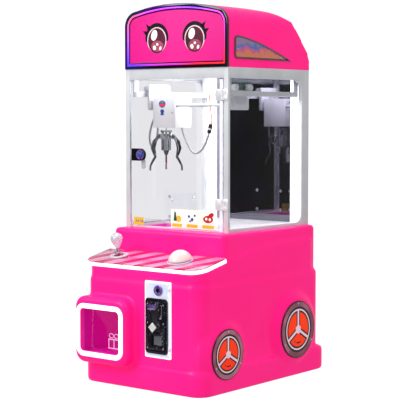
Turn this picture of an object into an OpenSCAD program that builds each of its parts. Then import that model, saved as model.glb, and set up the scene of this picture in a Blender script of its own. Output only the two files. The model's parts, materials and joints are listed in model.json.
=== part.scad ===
// Small claw crane machine: a car-shaped moulded base, a glazed cabinet with a travelling
// crane, and a moulded roof with an illuminated sign. +X is the player's right, -Y the front.

/* [Base] */
// Width of the moulded base at its waist
body_w = 414; // [380:1:520]
// Length of the moulded base from its front face to its back face
body_l = 559; // [520:1:700]
// Height of the collar that carries the cabinet
collar_h = 421; // [400:1:520]
// Wall of the base and roof mouldings
shell_wall = 4; // [3:0.5:6]
// Ground clearance under the moulding
ground_gap = 5; // [3:1:12]
// Tilt of the control deck, in degrees
deck_tilt = 12; // [6:1:18]
// Length of the control deck along its slope
deck_l = 120; // [110:1:130]
// Radius of the front wheel discs
front_wheel_r = 67; // [50:1:75]
// Radius of the rear wheel discs
rear_wheel_r = 80; // [60:1:88]

/* [Cabinet] */
// Width of the glazed cabinet
cab_w = 360; // [330:1:420]
// Depth of the glazed cabinet
cab_d = 375; // [340:1:440]
// Height of the cabinet above the collar
cab_h = 439; // [390:1:560]
// Thickness of the side frames
frame_t = 15; // [12:1:20]
// Height of the cabinet's top band
band_h = 29; // [22:1:40]
// Thickness of the glazing
glass_t = 4; // [3:0.5:6]
// Height of the clear guard round the prize chute
guard_h = 88; // [60:1:110]

/* [Crane] */
// Width of the winch cover
cover_w = 81; // [76:1:90]
// Depth of the winch cover
cover_d = 75; // [72:1:84]
// Height of the winch cover
cover_h = 86; // [80:1:94]
// Diameter of the bridge rods
rod_d = 8; // [6:1:10]
// Drop of the claw from its parked height
hoist_travel = 135; // [60:1:160]
// Reach of an open claw finger from the claw's axis
claw_reach = 52; // [48:1:58]

/* [Roof] */
// Height of the roof above the cabinet
roof_h = 174; // [150:1:200]

/* [Controls] */
// Diameter of the push button's dome
dome_d = 62; // [50:1:70]
// Diameter of the joystick's knob
knob_d = 34; // [28:1:38]
// Width of the prize opening
prize_w = 142; // [120:1:146]
// Height of the prize opening
prize_h = 117; // [100:1:122]
// Width of the coin door
coin_door_w = 81; // [76:1:86]
// Height of the coin door
coin_door_h = 194; // [186:1:204]

/* [Hidden] */
$fn = 48;
eps = 0.01;
fit = 0.3;          // clearance between parts that don't move on each other
run = 0.1;          // radial running clearance of a pin in its bore

// ---- base levels and faces
front_y = 10.5 - body_l / 2;            // front face of the body
back_y = front_y + body_l;              // back face of the body
body_hw = body_w / 2;
waist_hw = body_hw - 4;                 // the waist steps in above the fender line
collar_hw = cab_w / 2 + 17;
skirt_z = 76;                           // top of the skirt
skirt_out = 6;                          // how far the skirt stands out at the sides
skirt_back = 19.5;                      // and at the back
fender_z = 294;                         // the fender line
waist_z = collar_h - 38;                // top of the waist at the back
corner_r = 42;
cab_front = front_y + 148;              // front of the cabinet
cab_back = cab_front + cab_d;
collar_front = cab_front - 37;
collar_back = cab_back + 16;
deck_z = collar_h - 59;                 // where the deck meets the collar
deck_hw = waist_hw + 3;
strip_h = 10;                           // height of the deck's light strip
panel_t = 3;                            // thickness of the deck panel
deck_drop = strip_h + panel_t;
deck_front_z = deck_z - deck_l * sin(deck_tilt);
plate_z = 9;                            // underside of the base plate
plate_t = 12;
opening_hw = cab_w / 2 - 30;            // hole in the collar's top

// ---- wheels
front_wheel = [front_y + 103, front_wheel_r + 42];
rear_wheel = [back_y - 144, rear_wheel_r + 57];
front_fender_x = body_hw + skirt_out;
rear_fender_x = body_hw + 12;
fender_margin = 20;
disc_t = 3;

// ---- prize opening
prize_x = 24 - body_hw + prize_w / 2;   // centre of the opening
prize_z = 154.5;
ring_w = 13;
prize_r = 12;           // corner of the prize opening
boss_out = 37;                          // how far the boss stands out of the front face
boss_y = front_y - boss_out;
ring_t = 3.5;
boss_margin = 10;
boss_hw = prize_w / 2 + ring_w + boss_margin;
boss_hh = prize_h / 2 + ring_w + boss_margin + 7;
bin_wall = 3;
bin_hw = prize_w / 2 + 2;               // inside half width of the bin
bin_z0 = prize_z - prize_h / 2 - 3;
bin_z1 = prize_z + prize_h / 2 + 5;
bin_front = boss_y + shell_wall + fit;

// ---- coin door
coin_x = 64;
coin_z = 198.5;
frame_lip = 4;
coin_hinge = [coin_x + coin_door_w / 2 + 2.3, front_y - 6];
coin_door_y = front_y - 4;              // outer face of the door plate
coin_plate_t = 2.5;
acc_x = 61;
acc_z = coin_z - 17;
acc_w = 64;
acc_h = 125;
acc_face = 6;
acc_body_d = 48;
lock_pos = [coin_x + 4, coin_z + coin_door_h / 2 - 19];
cam_t = 2.5;

// ---- cabinet levels
cab_z0 = collar_h;
cab_z1 = collar_h + cab_h;
open_z0 = cab_z0 + 10;
open_z1 = cab_z1 - band_h;
inner_hw = cab_w / 2 - frame_t;         // inside face of the side frames
post_y = 8;                             // front strip of a side frame
rear_post = 34;
floor_t = 6;
floor_z = cab_z0 + floor_t;
back_t = 12;
mirror_y = cab_back - back_t - glass_t; // front face of the mirror
column_w = 27;
column_d = 14;
ceiling_z = cab_z1 - 12;
ceiling_t = 5;

// ---- front door
door_y = cab_front + 1;                 // outer face of the door glass
hinge_pin = [inner_hw - 3.5, cab_front - 3.4];
hinge_zs = [cab_z0 + 60, cab_z1 - 88];
hinge_h = 30;
door_lock = [-inner_hw + 41.5, cab_z0 + 203];

// ---- crane
home = [-inner_hw + 74, cab_front + 95];                 // centre of the parked winch cover
cover_z1 = cab_z1 - 76;
cover_z0 = cover_z1 - cover_h;
cover_t = 2;
rod_z = cover_z1 - 24;
rod_dy = cover_d / 2 - 9.5;
rail_hw = inner_hw - fit;
rail_w = 12;
rail_h = 14;
rail_z = rod_z + 38;
truck_x = inner_hw - 25;                                 // middle of an end truck
truck_t = 8;
guide_z = cover_z1 + 6;                                  // rod that carries the cables
claw_axis = [home[0] - 9, home[1] - 16];
spool_r = 12;
spool_z = cover_z0 + 40;
claw_top = cover_z0 - 7;
cord_r = 1;

// ---- claw, in its own frame with z 0 at the top of the hub
claw_angles = [10, 130, 250];
pivot_r = 18;
pivot_z = -14;
finger_t = 5;
coil_r = 14;

// ---- roof
roof_z = cab_z1;
roof_top = roof_z + roof_h;
roof_hw = cab_w / 2;
roof_front = cab_front;
roof_back = cab_back + 2;
arch_r = 640;
arch_corner = 42;
trim_w = 17;

// =============================== shared shapes ===============================

// rounded rectangle between two corners, made of arcs and straight lines
module rrect(x0, x1, y0, y1, r) {
    translate([x0 + r, y0]) square([x1 - x0 - 2 * r, y1 - y0]);
    translate([x0, y0 + r]) square([x1 - x0, y1 - y0 - 2 * r]);
    for (x = [x0 + r, x1 - r], y = [y0 + r, y1 - r])
        translate([x, y]) circle(r);
}

// upright rounded block
module slab(x0, x1, y0, y1, z0, z1, r) {
    translate([0, 0, z0]) linear_extrude(z1 - z0) rrect(x0, x1, y0, y1, r);
}

// plate that stands in the XZ plane, with rounded corners, from y0 to y1
module upright(x0, x1, z0, z1, y0, y1, r) {
    translate([0, y1, 0]) rotate([90, 0, 0]) linear_extrude(y1 - y0) rrect(x0, x1, z0, z1, r);
}

// plate that stands in the YZ plane, with rounded corners, from x0 to x1
module side_plate(y0, y1, z0, z1, x0, x1, r) {
    translate([x0, 0, 0]) rotate([90, 0, 90]) linear_extrude(x1 - x0) rrect(y0, y1, z0, z1, r);
}

module block(lo, hi) { translate(lo) cube(hi - lo); }

module rod_x(x0, x1, y, z, r) { translate([x0, y, z]) rotate([0, 90, 0]) cylinder(h = x1 - x0, r = r); }

module rod_y(x, y0, y1, z, r) { translate([x, y0, z]) rotate([-90, 0, 0]) cylinder(h = y1 - y0, r = r); }

module rod_z(x, y, z0, z1, r) { translate([x, y, z0]) cylinder(h = z1 - z0, r = r); }

module both_sides() { children(); mirror([1, 0, 0]) children(); }

// frame of the sloping deck: y runs up the slope to 0 at the collar, z stands square to it
module on_deck() { translate([0, collar_front, deck_z]) rotate([deck_tilt, 0, 0]) children(); }

// the deck's outline, smaller all round by inset
module deck_outline(inset) {
    rrect(-deck_hw + inset, deck_hw - inset, -deck_l + inset, corner_r, corner_r - inset);
}

// outline of the sign and of the roof's front, smaller all round by inset: a wide crown
// arc that runs smoothly into two corner arcs
module arch(inset) {
    dx = roof_hw - arch_corner;                      // centre of a corner arc
    dz = sqrt(pow(arch_r - arch_corner, 2) - dx * dx);
    crown = [0, roof_top - arch_r];
    corner_z = crown[1] + dz;
    join_x = dx / (arch_r - arch_corner) * (arch_r - inset);
    intersection() {
        translate(crown) circle(arch_r - inset, $fn = 360);
        translate([-join_x, corner_z - 20]) square([2 * join_x, arch_r]);
    }
    for (s = [-1, 1]) translate([s * dx, corner_z]) circle(arch_corner - inset);
    translate([-roof_hw + inset, roof_z + inset]) square([2 * (roof_hw - inset), corner_z - roof_z - inset]);
}

module arch_plate(inset, y0, y1) {
    translate([0, y1, 0]) rotate([90, 0, 0]) linear_extrude(y1 - y0) arch(inset);
}

// =============================== base ===============================

// side view of the waist and collar step, up to the deck
module waist_profile(drop) {
    deck_cut = deck_drop / cos(deck_tilt);
    polygon([
        [front_y + 3 + drop, 0],
        [front_y + 3 + drop, deck_front_z - deck_cut + 1 - drop],
        [collar_front + drop, deck_z - deck_cut - drop],
        [collar_front + 1, deck_z - 12 - drop],
        [collar_front + 86, waist_z - 22 - drop],
        [collar_front + 170, waist_z - 4 - drop],
        [collar_front + 240, waist_z - drop],
        [collar_back + 3 - drop, waist_z - drop],
        [collar_back + 3 - drop, 0]
    ]);
}

module body_outer() {
    slab(-body_hw - skirt_out, body_hw + skirt_out, front_y - 3, back_y + skirt_back,
         ground_gap, skirt_z, corner_r);
    slab(-body_hw, body_hw, front_y, back_y, ground_gap, fender_z, corner_r);
    intersection() {
        slab(-waist_hw, waist_hw, front_y + 3, collar_back + 3, ground_gap, collar_h, corner_r);
        translate([-body_w, 0, 0]) rotate([90, 0, 90]) linear_extrude(2 * body_w) waist_profile(0);
    }
    slab(-collar_hw, collar_hw, collar_front, collar_back, fender_z, collar_h, 18);
    both_sides() {
        fender(front_wheel, front_wheel_r + fender_margin, front_fender_x);
        fender(rear_wheel, rear_wheel_r + fender_margin, rear_fender_x);
    }
    upright(prize_x - boss_hw, prize_x + boss_hw, prize_z - boss_hh, prize_z + boss_hh,
            boss_y, front_y + 10, 30);
}

// a fender is a flat drum that stands out of the side
module fender(wheel, r, x1) {
    intersection() {
        rod_x(body_hw - 40, x1, wheel[0], wheel[1], r);
        block([0, front_y, ground_gap], [x1 + 1, back_y, collar_h]);
    }
}

module body_inner() {
    w = shell_wall;
    slab(-body_hw - skirt_out + w, body_hw + skirt_out - w, front_y - 3 + w,
         back_y + skirt_back - w, 0, skirt_z - w, corner_r - w);
    slab(-body_hw + w, body_hw - w, front_y + w, back_y - w, 0, fender_z - w, corner_r - w);
    intersection() {
        slab(-waist_hw + w, waist_hw - w, front_y + 3 + w, collar_back + 3 - w, 0, collar_h,
             corner_r - w);
        translate([-body_w, 0, 0]) rotate([90, 0, 90]) linear_extrude(2 * body_w) waist_profile(w);
    }
    slab(-collar_hw + w, collar_hw - w, collar_front + w, collar_back - w, fender_z - 20,
         collar_h - w, 18 - w);
    both_sides() {
        rod_x(body_hw - 39, front_fender_x - w, front_wheel[0], front_wheel[1],
              front_wheel_r + fender_margin - w);
        rod_x(body_hw - 39, rear_fender_x - w, rear_wheel[0], rear_wheel[1],
              rear_wheel_r + fender_margin - w);
    }
    upright(prize_x - boss_hw + w, prize_x + boss_hw - w, prize_z - boss_hh + w,
            prize_z + boss_hh - w, boss_y + w, front_y + 12, 30 - w);
}

rear_open = [100, 104, 268];            // half width and the two heights of the rear opening

module base_shell() {
    color("deeppink") difference() {
        body_outer();
        body_inner();
        // prize opening, coin door opening, rear opening and the hole under the playfield
        upright(prize_x - prize_w / 2, prize_x + prize_w / 2, prize_z - prize_h / 2,
                prize_z + prize_h / 2, boss_y - 1, boss_y + shell_wall + 1, prize_r);
        upright(coin_x - coin_door_w / 2 - fit - 2, coin_x + coin_door_w / 2 + fit + 2,
                coin_z - coin_door_h / 2 - fit - 2, coin_z + coin_door_h / 2 + fit + 2,
                front_y - 4, front_y + shell_wall + 4, 3);
        upright(-rear_open[0], rear_open[0], rear_open[1], rear_open[2], back_y - shell_wall - 1,
                back_y + 1, 8);
        slab(-opening_hw, opening_hw, cab_front + 30, cab_back - 30, collar_h - 20,
             collar_h + 1, 10);
        // deck holes for the joystick and the push button
        on_deck() {
            slab(stick[0] - 29 - fit, stick[0] + 29 + fit, stick[1] - 29 - fit, stick[1] + 29 + fit, -30, -8, 4);
            rod_z(button[0], button[1], -30, -8, 20 + fit);
        }
        // relief in the front wall where the coin door's cam turns up behind it
        block([lock_pos[0] - 18, front_y + 5.5, lock_pos[1] + 8],
              [lock_pos[0] + 18, front_y + shell_wall + 4, lock_pos[1] + coin_cam_reach + 4]);
        // mouth of the prize chute
        block([chute_x0 - 3.5, cab_front + 2, collar_h - 20], [chute_x1 + 3.5, chute_y1 + 3.5, collar_h + 1]);
    }
}

module base_plate() {
    w = shell_wall + fit;
    color("burlywood") slab(-body_hw - skirt_out + w, body_hw + skirt_out - w, front_y - 3 + w,
        back_y + skirt_back - w, plate_z, plate_z + plate_t, corner_r - w);
}

module rubber_feet() {
    color("dimgray") for (x = [-body_hw + 42, body_hw - 42], y = [front_y + 54, back_y - 45])
        rod_z(x, y, 0, plate_z, 18);
}

module wheel_disc(wheel, r, x0) {
    difference() {
        rod_x(x0, x0 + disc_t, wheel[0], wheel[1], r);
        rod_x(x0 + disc_t - 1, x0 + disc_t + 1, wheel[0], wheel[1], r - 14);
    }
}

module wheel_discs() {
    color("orangered") both_sides() {
        wheel_disc(front_wheel, front_wheel_r, front_fender_x);
        wheel_disc(rear_wheel, rear_wheel_r, rear_fender_x);
    }
}

stick = [-waist_hw * 0.606, -58];       // joystick and button, in the deck's frame
button = [waist_hw * 0.473, -60];
stick_hole_r = 13.5;                    // room for the shaft when it tilts both ways at once

module deck_panel() {
    color("hotpink") on_deck() difference() {
        translate([0, 0, -panel_t]) linear_extrude(panel_t) difference() {
            deck_outline(0.5);
            translate([-body_w, -4]) square([2 * body_w, 100]);
        }
        rod_z(stick[0], stick[1], -10, 1, stick_hole_r);
        rod_z(button[0], button[1], -10, 1, 14 + fit);
    }
}

module deck_light_strip() {
    color("white") on_deck() translate([0, 0, -deck_drop]) linear_extrude(strip_h) difference() {
        deck_outline(0);
        deck_outline(9);
        translate([-body_w, -4]) square([2 * body_w, 100]);
    }
}

module prize_light_ring() {
    color("white") difference() {
        upright(prize_x - prize_w / 2 - ring_w, prize_x + prize_w / 2 + ring_w,
                prize_z - prize_h / 2 - ring_w, prize_z + prize_h / 2 + ring_w,
                boss_y - ring_t, boss_y, 26);
        upright(prize_x - prize_w / 2, prize_x + prize_w / 2, prize_z - prize_h / 2,
                prize_z + prize_h / 2, boss_y - ring_t - 1, boss_y + 1, prize_r);
    }
}

// the chute's mouth in the playfield
chute_x0 = -inner_hw + 4;
chute_x1 = prize_x + prize_w / 2 + 1;
chute_y0 = cab_front + 10;
chute_y1 = chute_y0 + 134;
flap_pin = [bin_front + 14, bin_z1 - 6];
flap_pin_r = 2;

module prize_chute() {
    t = bin_wall;
    color("orchid") difference() {
        union() {
            block([prize_x - bin_hw - t, bin_front, bin_z0 - t],
                  [prize_x + bin_hw + t, chute_y1 + t, bin_z1 + t]);
            block([chute_x0 - t, chute_y0 - t, bin_z1], [chute_x1 + t, chute_y1 + t, collar_h]);
        }
        block([prize_x - bin_hw, bin_front - 1, bin_z0], [prize_x + bin_hw, chute_y1, bin_z1]);
        block([chute_x0, chute_y0, bin_z1 - 1], [chute_x1, chute_y1, collar_h + 1]);
        rod_x(prize_x - bin_hw - t - 1, prize_x + bin_hw + t + 1, flap_pin[0], flap_pin[1],
              flap_pin_r + run);
    }
    // ramp that sends the prize forward
    color("orchid") translate([prize_x - bin_hw, 0, 0]) rotate([90, 0, 90])
        linear_extrude(2 * bin_hw) polygon([
            [chute_y1, bin_z0], [chute_y1, bin_z0 + 70], [chute_y0 - 40, bin_z0]
        ]);
}

module prize_flap() {
    y = flap_pin[0];
    z = flap_pin[1];
    color("plum") {
        difference() {
            upright(prize_x - bin_hw + 1, prize_x + bin_hw - 1, bin_z0 + 3, z, y - 1.5, y + 1.5, 6);
            block([prize_x - bin_hw, y - 3, z - 7], [prize_x + bin_hw, y + 3, z + 8]);
        }
        rod_x(prize_x - bin_hw + 1, prize_x + bin_hw - 1, y, z, 3.5);
        block([prize_x - bin_hw + 1, y - 1.5, z - 8], [prize_x + bin_hw - 1, y + 1.5, z]);
        rod_x(prize_x - bin_hw - bin_wall + 0.5, prize_x + bin_hw + bin_wall - 0.5, y, z, flap_pin_r);
    }
}

module rear_panel() {
    color("gainsboro") difference() {
        upright(-rear_open[0] - 12, rear_open[0] + 12, rear_open[1] - 12, rear_open[2] + 12,
                back_y, back_y + 2, 8);
        for (i = [0:6]) upright(-60, 60, 150 + 15 * i, 156 + 15 * i, back_y - 1, back_y + 3, 2.9);
        upright(inlet[0] - 14, inlet[0] + 14, inlet[1] - 24, inlet[1] + 24, back_y - 1, back_y + 3, 2);
    }
}

inlet = [72, 200];                      // centre of the power inlet, on the rear panel

module power_inlet() {
    y = back_y + 2;
    color("dimgray") difference() {
        union() {
            upright(inlet[0] - 19, inlet[0] + 19, inlet[1] - 29, inlet[1] + 29, y, y + 3, 3);
            upright(inlet[0] - 13.5, inlet[0] + 13.5, inlet[1] - 23.5, inlet[1] + 23.5, y - 26, y, 2);
        }
        // plug socket below, rocker opening above
        upright(inlet[0] - 11, inlet[0] + 11, inlet[1] - 21, inlet[1] - 2, y - 16, y + 4, 3);
        upright(inlet[0] - 9.3, inlet[0] + 9.3, inlet[1] + 6, inlet[1] + 20, y - 14, y + 4, 1);
    }
    // contact blades
    color("silver") for (x = [-7, 0, 7])
        block([inlet[0] + x - 1, y - 17, inlet[1] - 14], [inlet[0] + x + 1, y - 4, inlet[1] - 9]);
}

rocker = [inlet[0], back_y - 1, inlet[1] + 13];

module power_switch() {
    color("red") translate(rocker) rotate([10, 0, 0]) difference() {
        rod_x(-8.8, 8.8, 0, 0, 6.5);
        // the two faces of the rocker
        for (s = [-1, 1]) rotate([s * 10, 0, 0]) block([-10, 5, s > 0 ? -9 : 0], [10, 12, s > 0 ? 0 : 9]);
    }
}

module coin_box() {
    z0 = plate_z + plate_t;
    color("silver") difference() {
        slab(10, 118, front_y + 12, front_y + 140, z0, z0 + 66, 4);
        slab(12, 116, front_y + 14, front_y + 138, z0 + 2, z0 + 70, 3);
    }
}

module power_supply() {
    z0 = plate_z + plate_t;
    color("silver") difference() {
        slab(55, 153, 20, 179, z0, z0 + 42, 1);
        for (i = [0:8]) slab(68, 140, 34 + 16 * i, 40 + 16 * i, z0 + 39, z0 + 43, 2.9);
    }
}

module control_board() {
    z0 = plate_z + plate_t;
    color("seagreen") slab(-150, -10, 90, 230, z0 + 8, z0 + 9.6, 3);
    color("white") for (x = [-140, -20], y = [100, 220]) rod_z(x, y, z0, z0 + 8, 3);
    color("black") {
        block([-100, 140, z0 + 9.6], [-70, 170, z0 + 13]);
        for (i = [0:4]) block([-145 + 26 * i, 218, z0 + 9.6], [-127 + 26 * i, 226, z0 + 20]);
        for (i = [0:2]) rod_z(-40, 120 + 22 * i, z0 + 9.6, z0 + 27, 7);
    }
}

// all the screws that stand in fixed panels
module fixing_screws() {
    color("silver") {
        for (x = [-rear_open[0] - 6, rear_open[0] + 6], z = [rear_open[1] - 6, rear_open[2] + 6])
            rod_y(x, back_y + 2, back_y + 4, z, 3.5);
        both_sides() {
            for (a = [90, 210, 330]) {
                disc_screw(front_wheel, front_wheel_r - 7, front_fender_x + disc_t, a);
                disc_screw(rear_wheel, rear_wheel_r - 7, rear_fender_x + disc_t, a);
            }
            for (p = fin_screws) rod_x(roof_hw + 3, roof_hw + 4.5, p[0], p[1], 3);
            on_deck() for (y = [-deck_l + 12, -14]) rod_z(deck_hw - 15, y, 0, 1.2, 3);
        }
    }
}

module disc_screw(wheel, r, x, a) {
    rod_x(x, x + 1.5, wheel[0] + r * cos(a), wheel[1] + r * sin(a), 3);
}

// =============================== controls ===============================

gimbal_z = -24;                         // pivot height of the joystick, in the deck's frame
stick_top = 38;                         // top of the shaft, inside the knob

module joystick_base() {
    x = stick[0];
    y = stick[1];
    color("white") on_deck() {
        difference() {
            slab(x - 29, x + 29, y - 29, y + 29, -42, -panel_t, 4);
            slab(x - 25, x + 25, y - 25, y + 25, -39, -6, 3);
            rod_z(x, y, -7, 1, 13);
            rod_x(x - 30, x + 30, y, gimbal_z, 2.5 + run);
        }
        difference() {
            rod_z(x, y, 0, 3, 26);
            rod_z(x, y, -1, 4, stick_hole_r);
        }
    }
}

module joystick_gimbal() {
    color("silver") on_deck() translate([stick[0], stick[1], gimbal_z]) difference() {
        union() {
            slab(-20, 20, -16, 16, -4, 4, 4);
            rod_x(-28.5, 28.5, 0, 0, 2.5);
        }
        slab(-14, 14, -10, 10, -5, 5, 2);
        rod_y(0, -18, 18, 0, 2.5 + run);
    }
}

module joystick_shaft() {
    color("silver") on_deck() translate([stick[0], stick[1], gimbal_z]) {
        rod_z(0, 0, -11, stick_top - gimbal_z, 4);
        rod_z(0, 0, 34.5, 36.5, 14);
        rod_y(0, -15.5, 15.5, 0, 2.5);
    }
}

module joystick_knob() {
    r = knob_d / 2;
    color("lavender") on_deck() translate([stick[0], stick[1], 0]) difference() {
        rotate_extrude() intersection() {
            union() {
                translate([0, 66 - r]) circle(r);
                polygon([[0, 23], [8, 23], [r * 0.93, 66 - r - r * 0.36], [0, 66 - r]]);
            }
            translate([0, 20]) square([r + 1, 60]);
        }
        rod_z(0, 0, 20, stick_top, 4);
    }
}

module button_housing() {
    color("white") on_deck() translate([button[0], button[1], 0]) difference() {
        union() {
            rod_z(0, 0, 0, 4, dome_d / 2 + 4);
            rod_z(0, 0, -46, 0, 14);
            rod_z(0, 0, -panel_t - 9, -panel_t, 20);
        }
        rod_z(0, 0, -40, 5, 11);
        rod_z(0, 0, 2, 5, dome_d / 2 + 1);
    }
}

module button_cap() {
    rise = 22;
    r = dome_d / 2;
    ball = (r * r + rise * rise) / (2 * rise);
    color("snow") on_deck() translate([button[0], button[1], 0]) {
        intersection() {
            translate([0, 0, 9 + rise - ball]) sphere(ball, $fn = 64);
            rod_z(0, 0, 8.9, 40, r);
        }
        rod_z(0, 0, 6, 9, r);
        rod_z(0, 0, -34, 6, 10.6);
    }
}

// =============================== coin door ===============================

module coin_door_frame() {
    w = coin_door_w / 2 + fit;
    h = coin_door_h / 2 + fit;
    color("white") {
        difference() {
            union() {
                upright(coin_x - w - frame_lip, coin_x + w + frame_lip, coin_z - h - frame_lip,
                        coin_z + h + frame_lip, front_y - 2, front_y, 4);
                upright(coin_x - w - 1.7, coin_x + w + 1.7, coin_z - h - 1.7, coin_z + h + 1.7,
                        front_y - 1, front_y + 6, 3);
            }
            upright(coin_x - w, coin_x + w, coin_z - h, coin_z + h, front_y - 5, front_y + 8, 2);
        }
        for (z = coin_hinge_zs) {
            rod_z(coin_hinge[0], coin_hinge[1], z, z + 8, 3.5);
            block([coin_hinge[0] - 1, coin_hinge[1], z], [coin_hinge[0] + 2.4, front_y - 1, z + 8]);
            rod_z(coin_hinge[0], coin_hinge[1], z + 7, z + 21, 2);
        }
    }
}

coin_hinge_zs = [coin_z - coin_door_h / 2 + 8, coin_z + coin_door_h / 2 - 30];

module coin_door() {
    w = coin_door_w / 2;
    h = coin_door_h / 2;
    color("ghostwhite") difference() {
        union() {
            upright(coin_x - w, coin_x + w, coin_z - h, coin_z + h, coin_door_y,
                    coin_door_y + coin_plate_t, 2);
            for (z = coin_hinge_zs) rod_z(coin_hinge[0], coin_hinge[1], z + 8.2, z + 20, 3.5);
        }
        for (z = coin_hinge_zs) {
            rod_z(coin_hinge[0], coin_hinge[1], z, z + 24, 2 + run);
            // room for the frame's knuckle
            block([coin_hinge[0] - 4, coin_hinge[1] - 5, z - 0.2], [coin_hinge[0] + 5, front_y, z + 8.2]);
        }
        upright(acc_body_x0 - fit, acc_body_x1 + fit, acc_z - acc_h / 2 + 4, acc_z + acc_h / 2 - 4,
                coin_door_y - 1, coin_door_y + 4, 2);
        rod_y(lock_pos[0], coin_door_y - 1, coin_door_y + 4, lock_pos[1], 9.5 + fit);
    }
}

acc_body_x0 = acc_x - 15;
acc_body_x1 = acc_x + 28;
acc_y = coin_door_y - acc_face;         // outer face of the acceptor
cup_z = [acc_z - 52, acc_z - 22];
lever = [acc_x - 3, acc_z - 2];
coin_slot_x = acc_x + 19;

module coin_acceptor() {
    x0 = acc_x - acc_w / 2;
    x1 = acc_x + acc_w / 2;
    z0 = acc_z - acc_h / 2;
    z1 = acc_z + acc_h / 2;
    color("dimgray") difference() {
        union() {
            upright(x0, x1, z0, z1, acc_y, coin_door_y, 4);
            upright(acc_body_x0, acc_body_x1, z0 + 4.5, z1 - 4.5, coin_door_y - 1,
                    coin_door_y + acc_body_d, 2);
        }
        // coin slot, return cup and the reject lever's bore
        upright(coin_slot_x - 1.6, coin_slot_x + 1.6, acc_z + 24, acc_z + 54, acc_y - 1, acc_y + 40, 1.5);
        block([acc_x - 14, acc_y - 1, cup_z[0]], [acc_x + 22, acc_y + 34, cup_z[1]]);
        rod_y(lever[0], acc_y - 1, acc_y + 22, lever[1], 6);
        for (s = [-1, 1]) rod_y(acc_x + s * 27, acc_y - 1, acc_y + 1, acc_z + 55, 3);
        rod_x(acc_x - 16, acc_x + 24, acc_y + 5, cup_z[1] - 3, 1.5 + run);
    }
    // lit surround
    color("white") difference() {
        upright(x0 - 4.5, x1 + 7, z0 - 10, z1 + 11, coin_door_y - 3, coin_door_y, 10);
        upright(x0 - fit, x1 + fit, z0 - fit, z1 + fit, coin_door_y - 4, coin_door_y + 1, 4);
    }
}

module coin_reject_lever() {
    color("silver") {
        rod_y(lever[0], acc_y - 6, acc_y + 16, lever[1], 5.7);
        translate([lever[0], acc_y - 6, lever[1]]) rotate([0, 45, 0]) block([-9, -3, -9], [9, 0, 9]);
    }
}

module coin_return_flap() {
    color("silver") {
        block([acc_x - 13.6, acc_y + 4, cup_z[0] + 0.4], [acc_x + 21.6, acc_y + 6, cup_z[1] - 3]);
        rod_x(acc_x - 14.8, acc_x + 22.8, acc_y + 5, cup_z[1] - 3, 1.5);
        rod_x(acc_x - 13.6, acc_x + 21.6, acc_y + 5, cup_z[1] - 3, 2.4);
    }
}

// barrel of a cam lock with its cap ring: axis along Y at [x, z], from its cap at y0 to y1
module lock_barrel(x, z, y_face, y_cap, y1) {
    difference() {
        union() {
            rod_y(x, y_cap, y_face, z, 14);
            rod_y(x, y_cap + 1, y1, z, 9.5);
        }
        rod_y(x, y_cap - 1, y1 + 1, z, 6 + run);
    }
}

// the plug and cam that turn in a barrel; the cam reaches from the barrel's axis to -X, or
// down when it is turned by 90
module lock_cam(x, z, y_cap, y_cam, reach, turn) {
    difference() {
        rod_y(x, y_cap - 0.5, y_cam, z, 6);
        block([x - 0.8, y_cap - 1, z - 4], [x + 0.8, y_cap + 12, z + 4]);
    }
    translate([x, 0, z]) rotate([0, -turn, 0]) upright(-reach, 8, -7, 7, y_cam, y_cam + cam_t, 6.9);
}

coin_cam_y = front_y + 7.5;
coin_cam_reach = 24;

module coin_door_lock() {
    color("silver") lock_barrel(lock_pos[0], lock_pos[1], coin_door_y, coin_door_y - 4, coin_cam_y - 0.3);
}

module coin_door_cam() {
    color("silver") lock_cam(lock_pos[0], lock_pos[1], coin_door_y - 4, coin_cam_y, coin_cam_reach, 0);
}

// =============================== cabinet ===============================

module playfield_floor() {
    color("whitesmoke") difference() {
        slab(-inner_hw + fit, inner_hw - fit, cab_front + 8, mirror_y - fit, cab_z0, floor_z, 2);
        block([chute_x0, chute_y0, cab_z0 - 1], [chute_x1, chute_y1, floor_z + 1]);
    }
}

module chute_guard() {
    color("lightcyan") {
        block([-inner_hw + 3, chute_y1, floor_z], [chute_x1 + 3, chute_y1 + 3, floor_z + guard_h]);
        block([chute_x1, chute_y0, floor_z], [chute_x1 + 3, chute_y1, floor_z + guard_h]);
    }
}

// right side frame: a plate with a large window, rebated inside for the glass
module side_frame() {
    x0 = inner_hw;
    x1 = cab_w / 2;
    difference() {
        block([x0, cab_front, cab_z0], [x1, cab_back, cab_z1]);
        side_plate(cab_front + post_y, cab_back - rear_post, open_z0, open_z1, x0 - 1, x1 + 1, 28);
        block([x0 - 1, cab_front + post_y, open_z0], [x1 + 1, cab_front + post_y + 40, open_z1]);
        side_plate(cab_front + 4, cab_back - rear_post + 5, open_z0 - 5, open_z1 + 5,
                   x0 - 1, x0 + glass_t + fit, 30);
    }
}

module side_frame_right() { color("white") side_frame(); }

module side_frame_left() {
    color("white") {
        mirror([1, 0, 0]) side_frame();
        // keeper that the door's cam turns behind, bent round the edge of the glass
        z0 = door_lock[1] - 14;
        z1 = door_lock[1] + 14;
        block([-inner_hw - 0.5, cab_front + 0.5, z0], [-inner_hw + 0.9, cab_front + 3.7, z1]);
        block([-inner_hw, cab_front + 3, z0], [-inner_hw + 0.9, cab_front + post_y - 0.2, z1]);
        block([-inner_hw, cab_front + 5.5, z0], [-inner_hw + 8, cab_front + post_y - 0.2, z1]);
    }
}

module side_windows() {
    color("lightcyan") both_sides() side_plate(cab_front + 4 + fit, cab_back - rear_post + 5 - fit,
        open_z0 - 5 + fit, open_z1 + 5 - fit, inner_hw + fit, inner_hw + glass_t + fit, 30);
}

module back_panel() {
    color("whitesmoke") block([-inner_hw, cab_back - back_t, cab_z0], [inner_hw, cab_back, cab_z1]);
}

module back_mirror() {
    color("slategray") block([-inner_hw + 1, mirror_y, cab_z0 + 1],
                             [inner_hw - 1, mirror_y + glass_t, ceiling_z - 1]);
}

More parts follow.
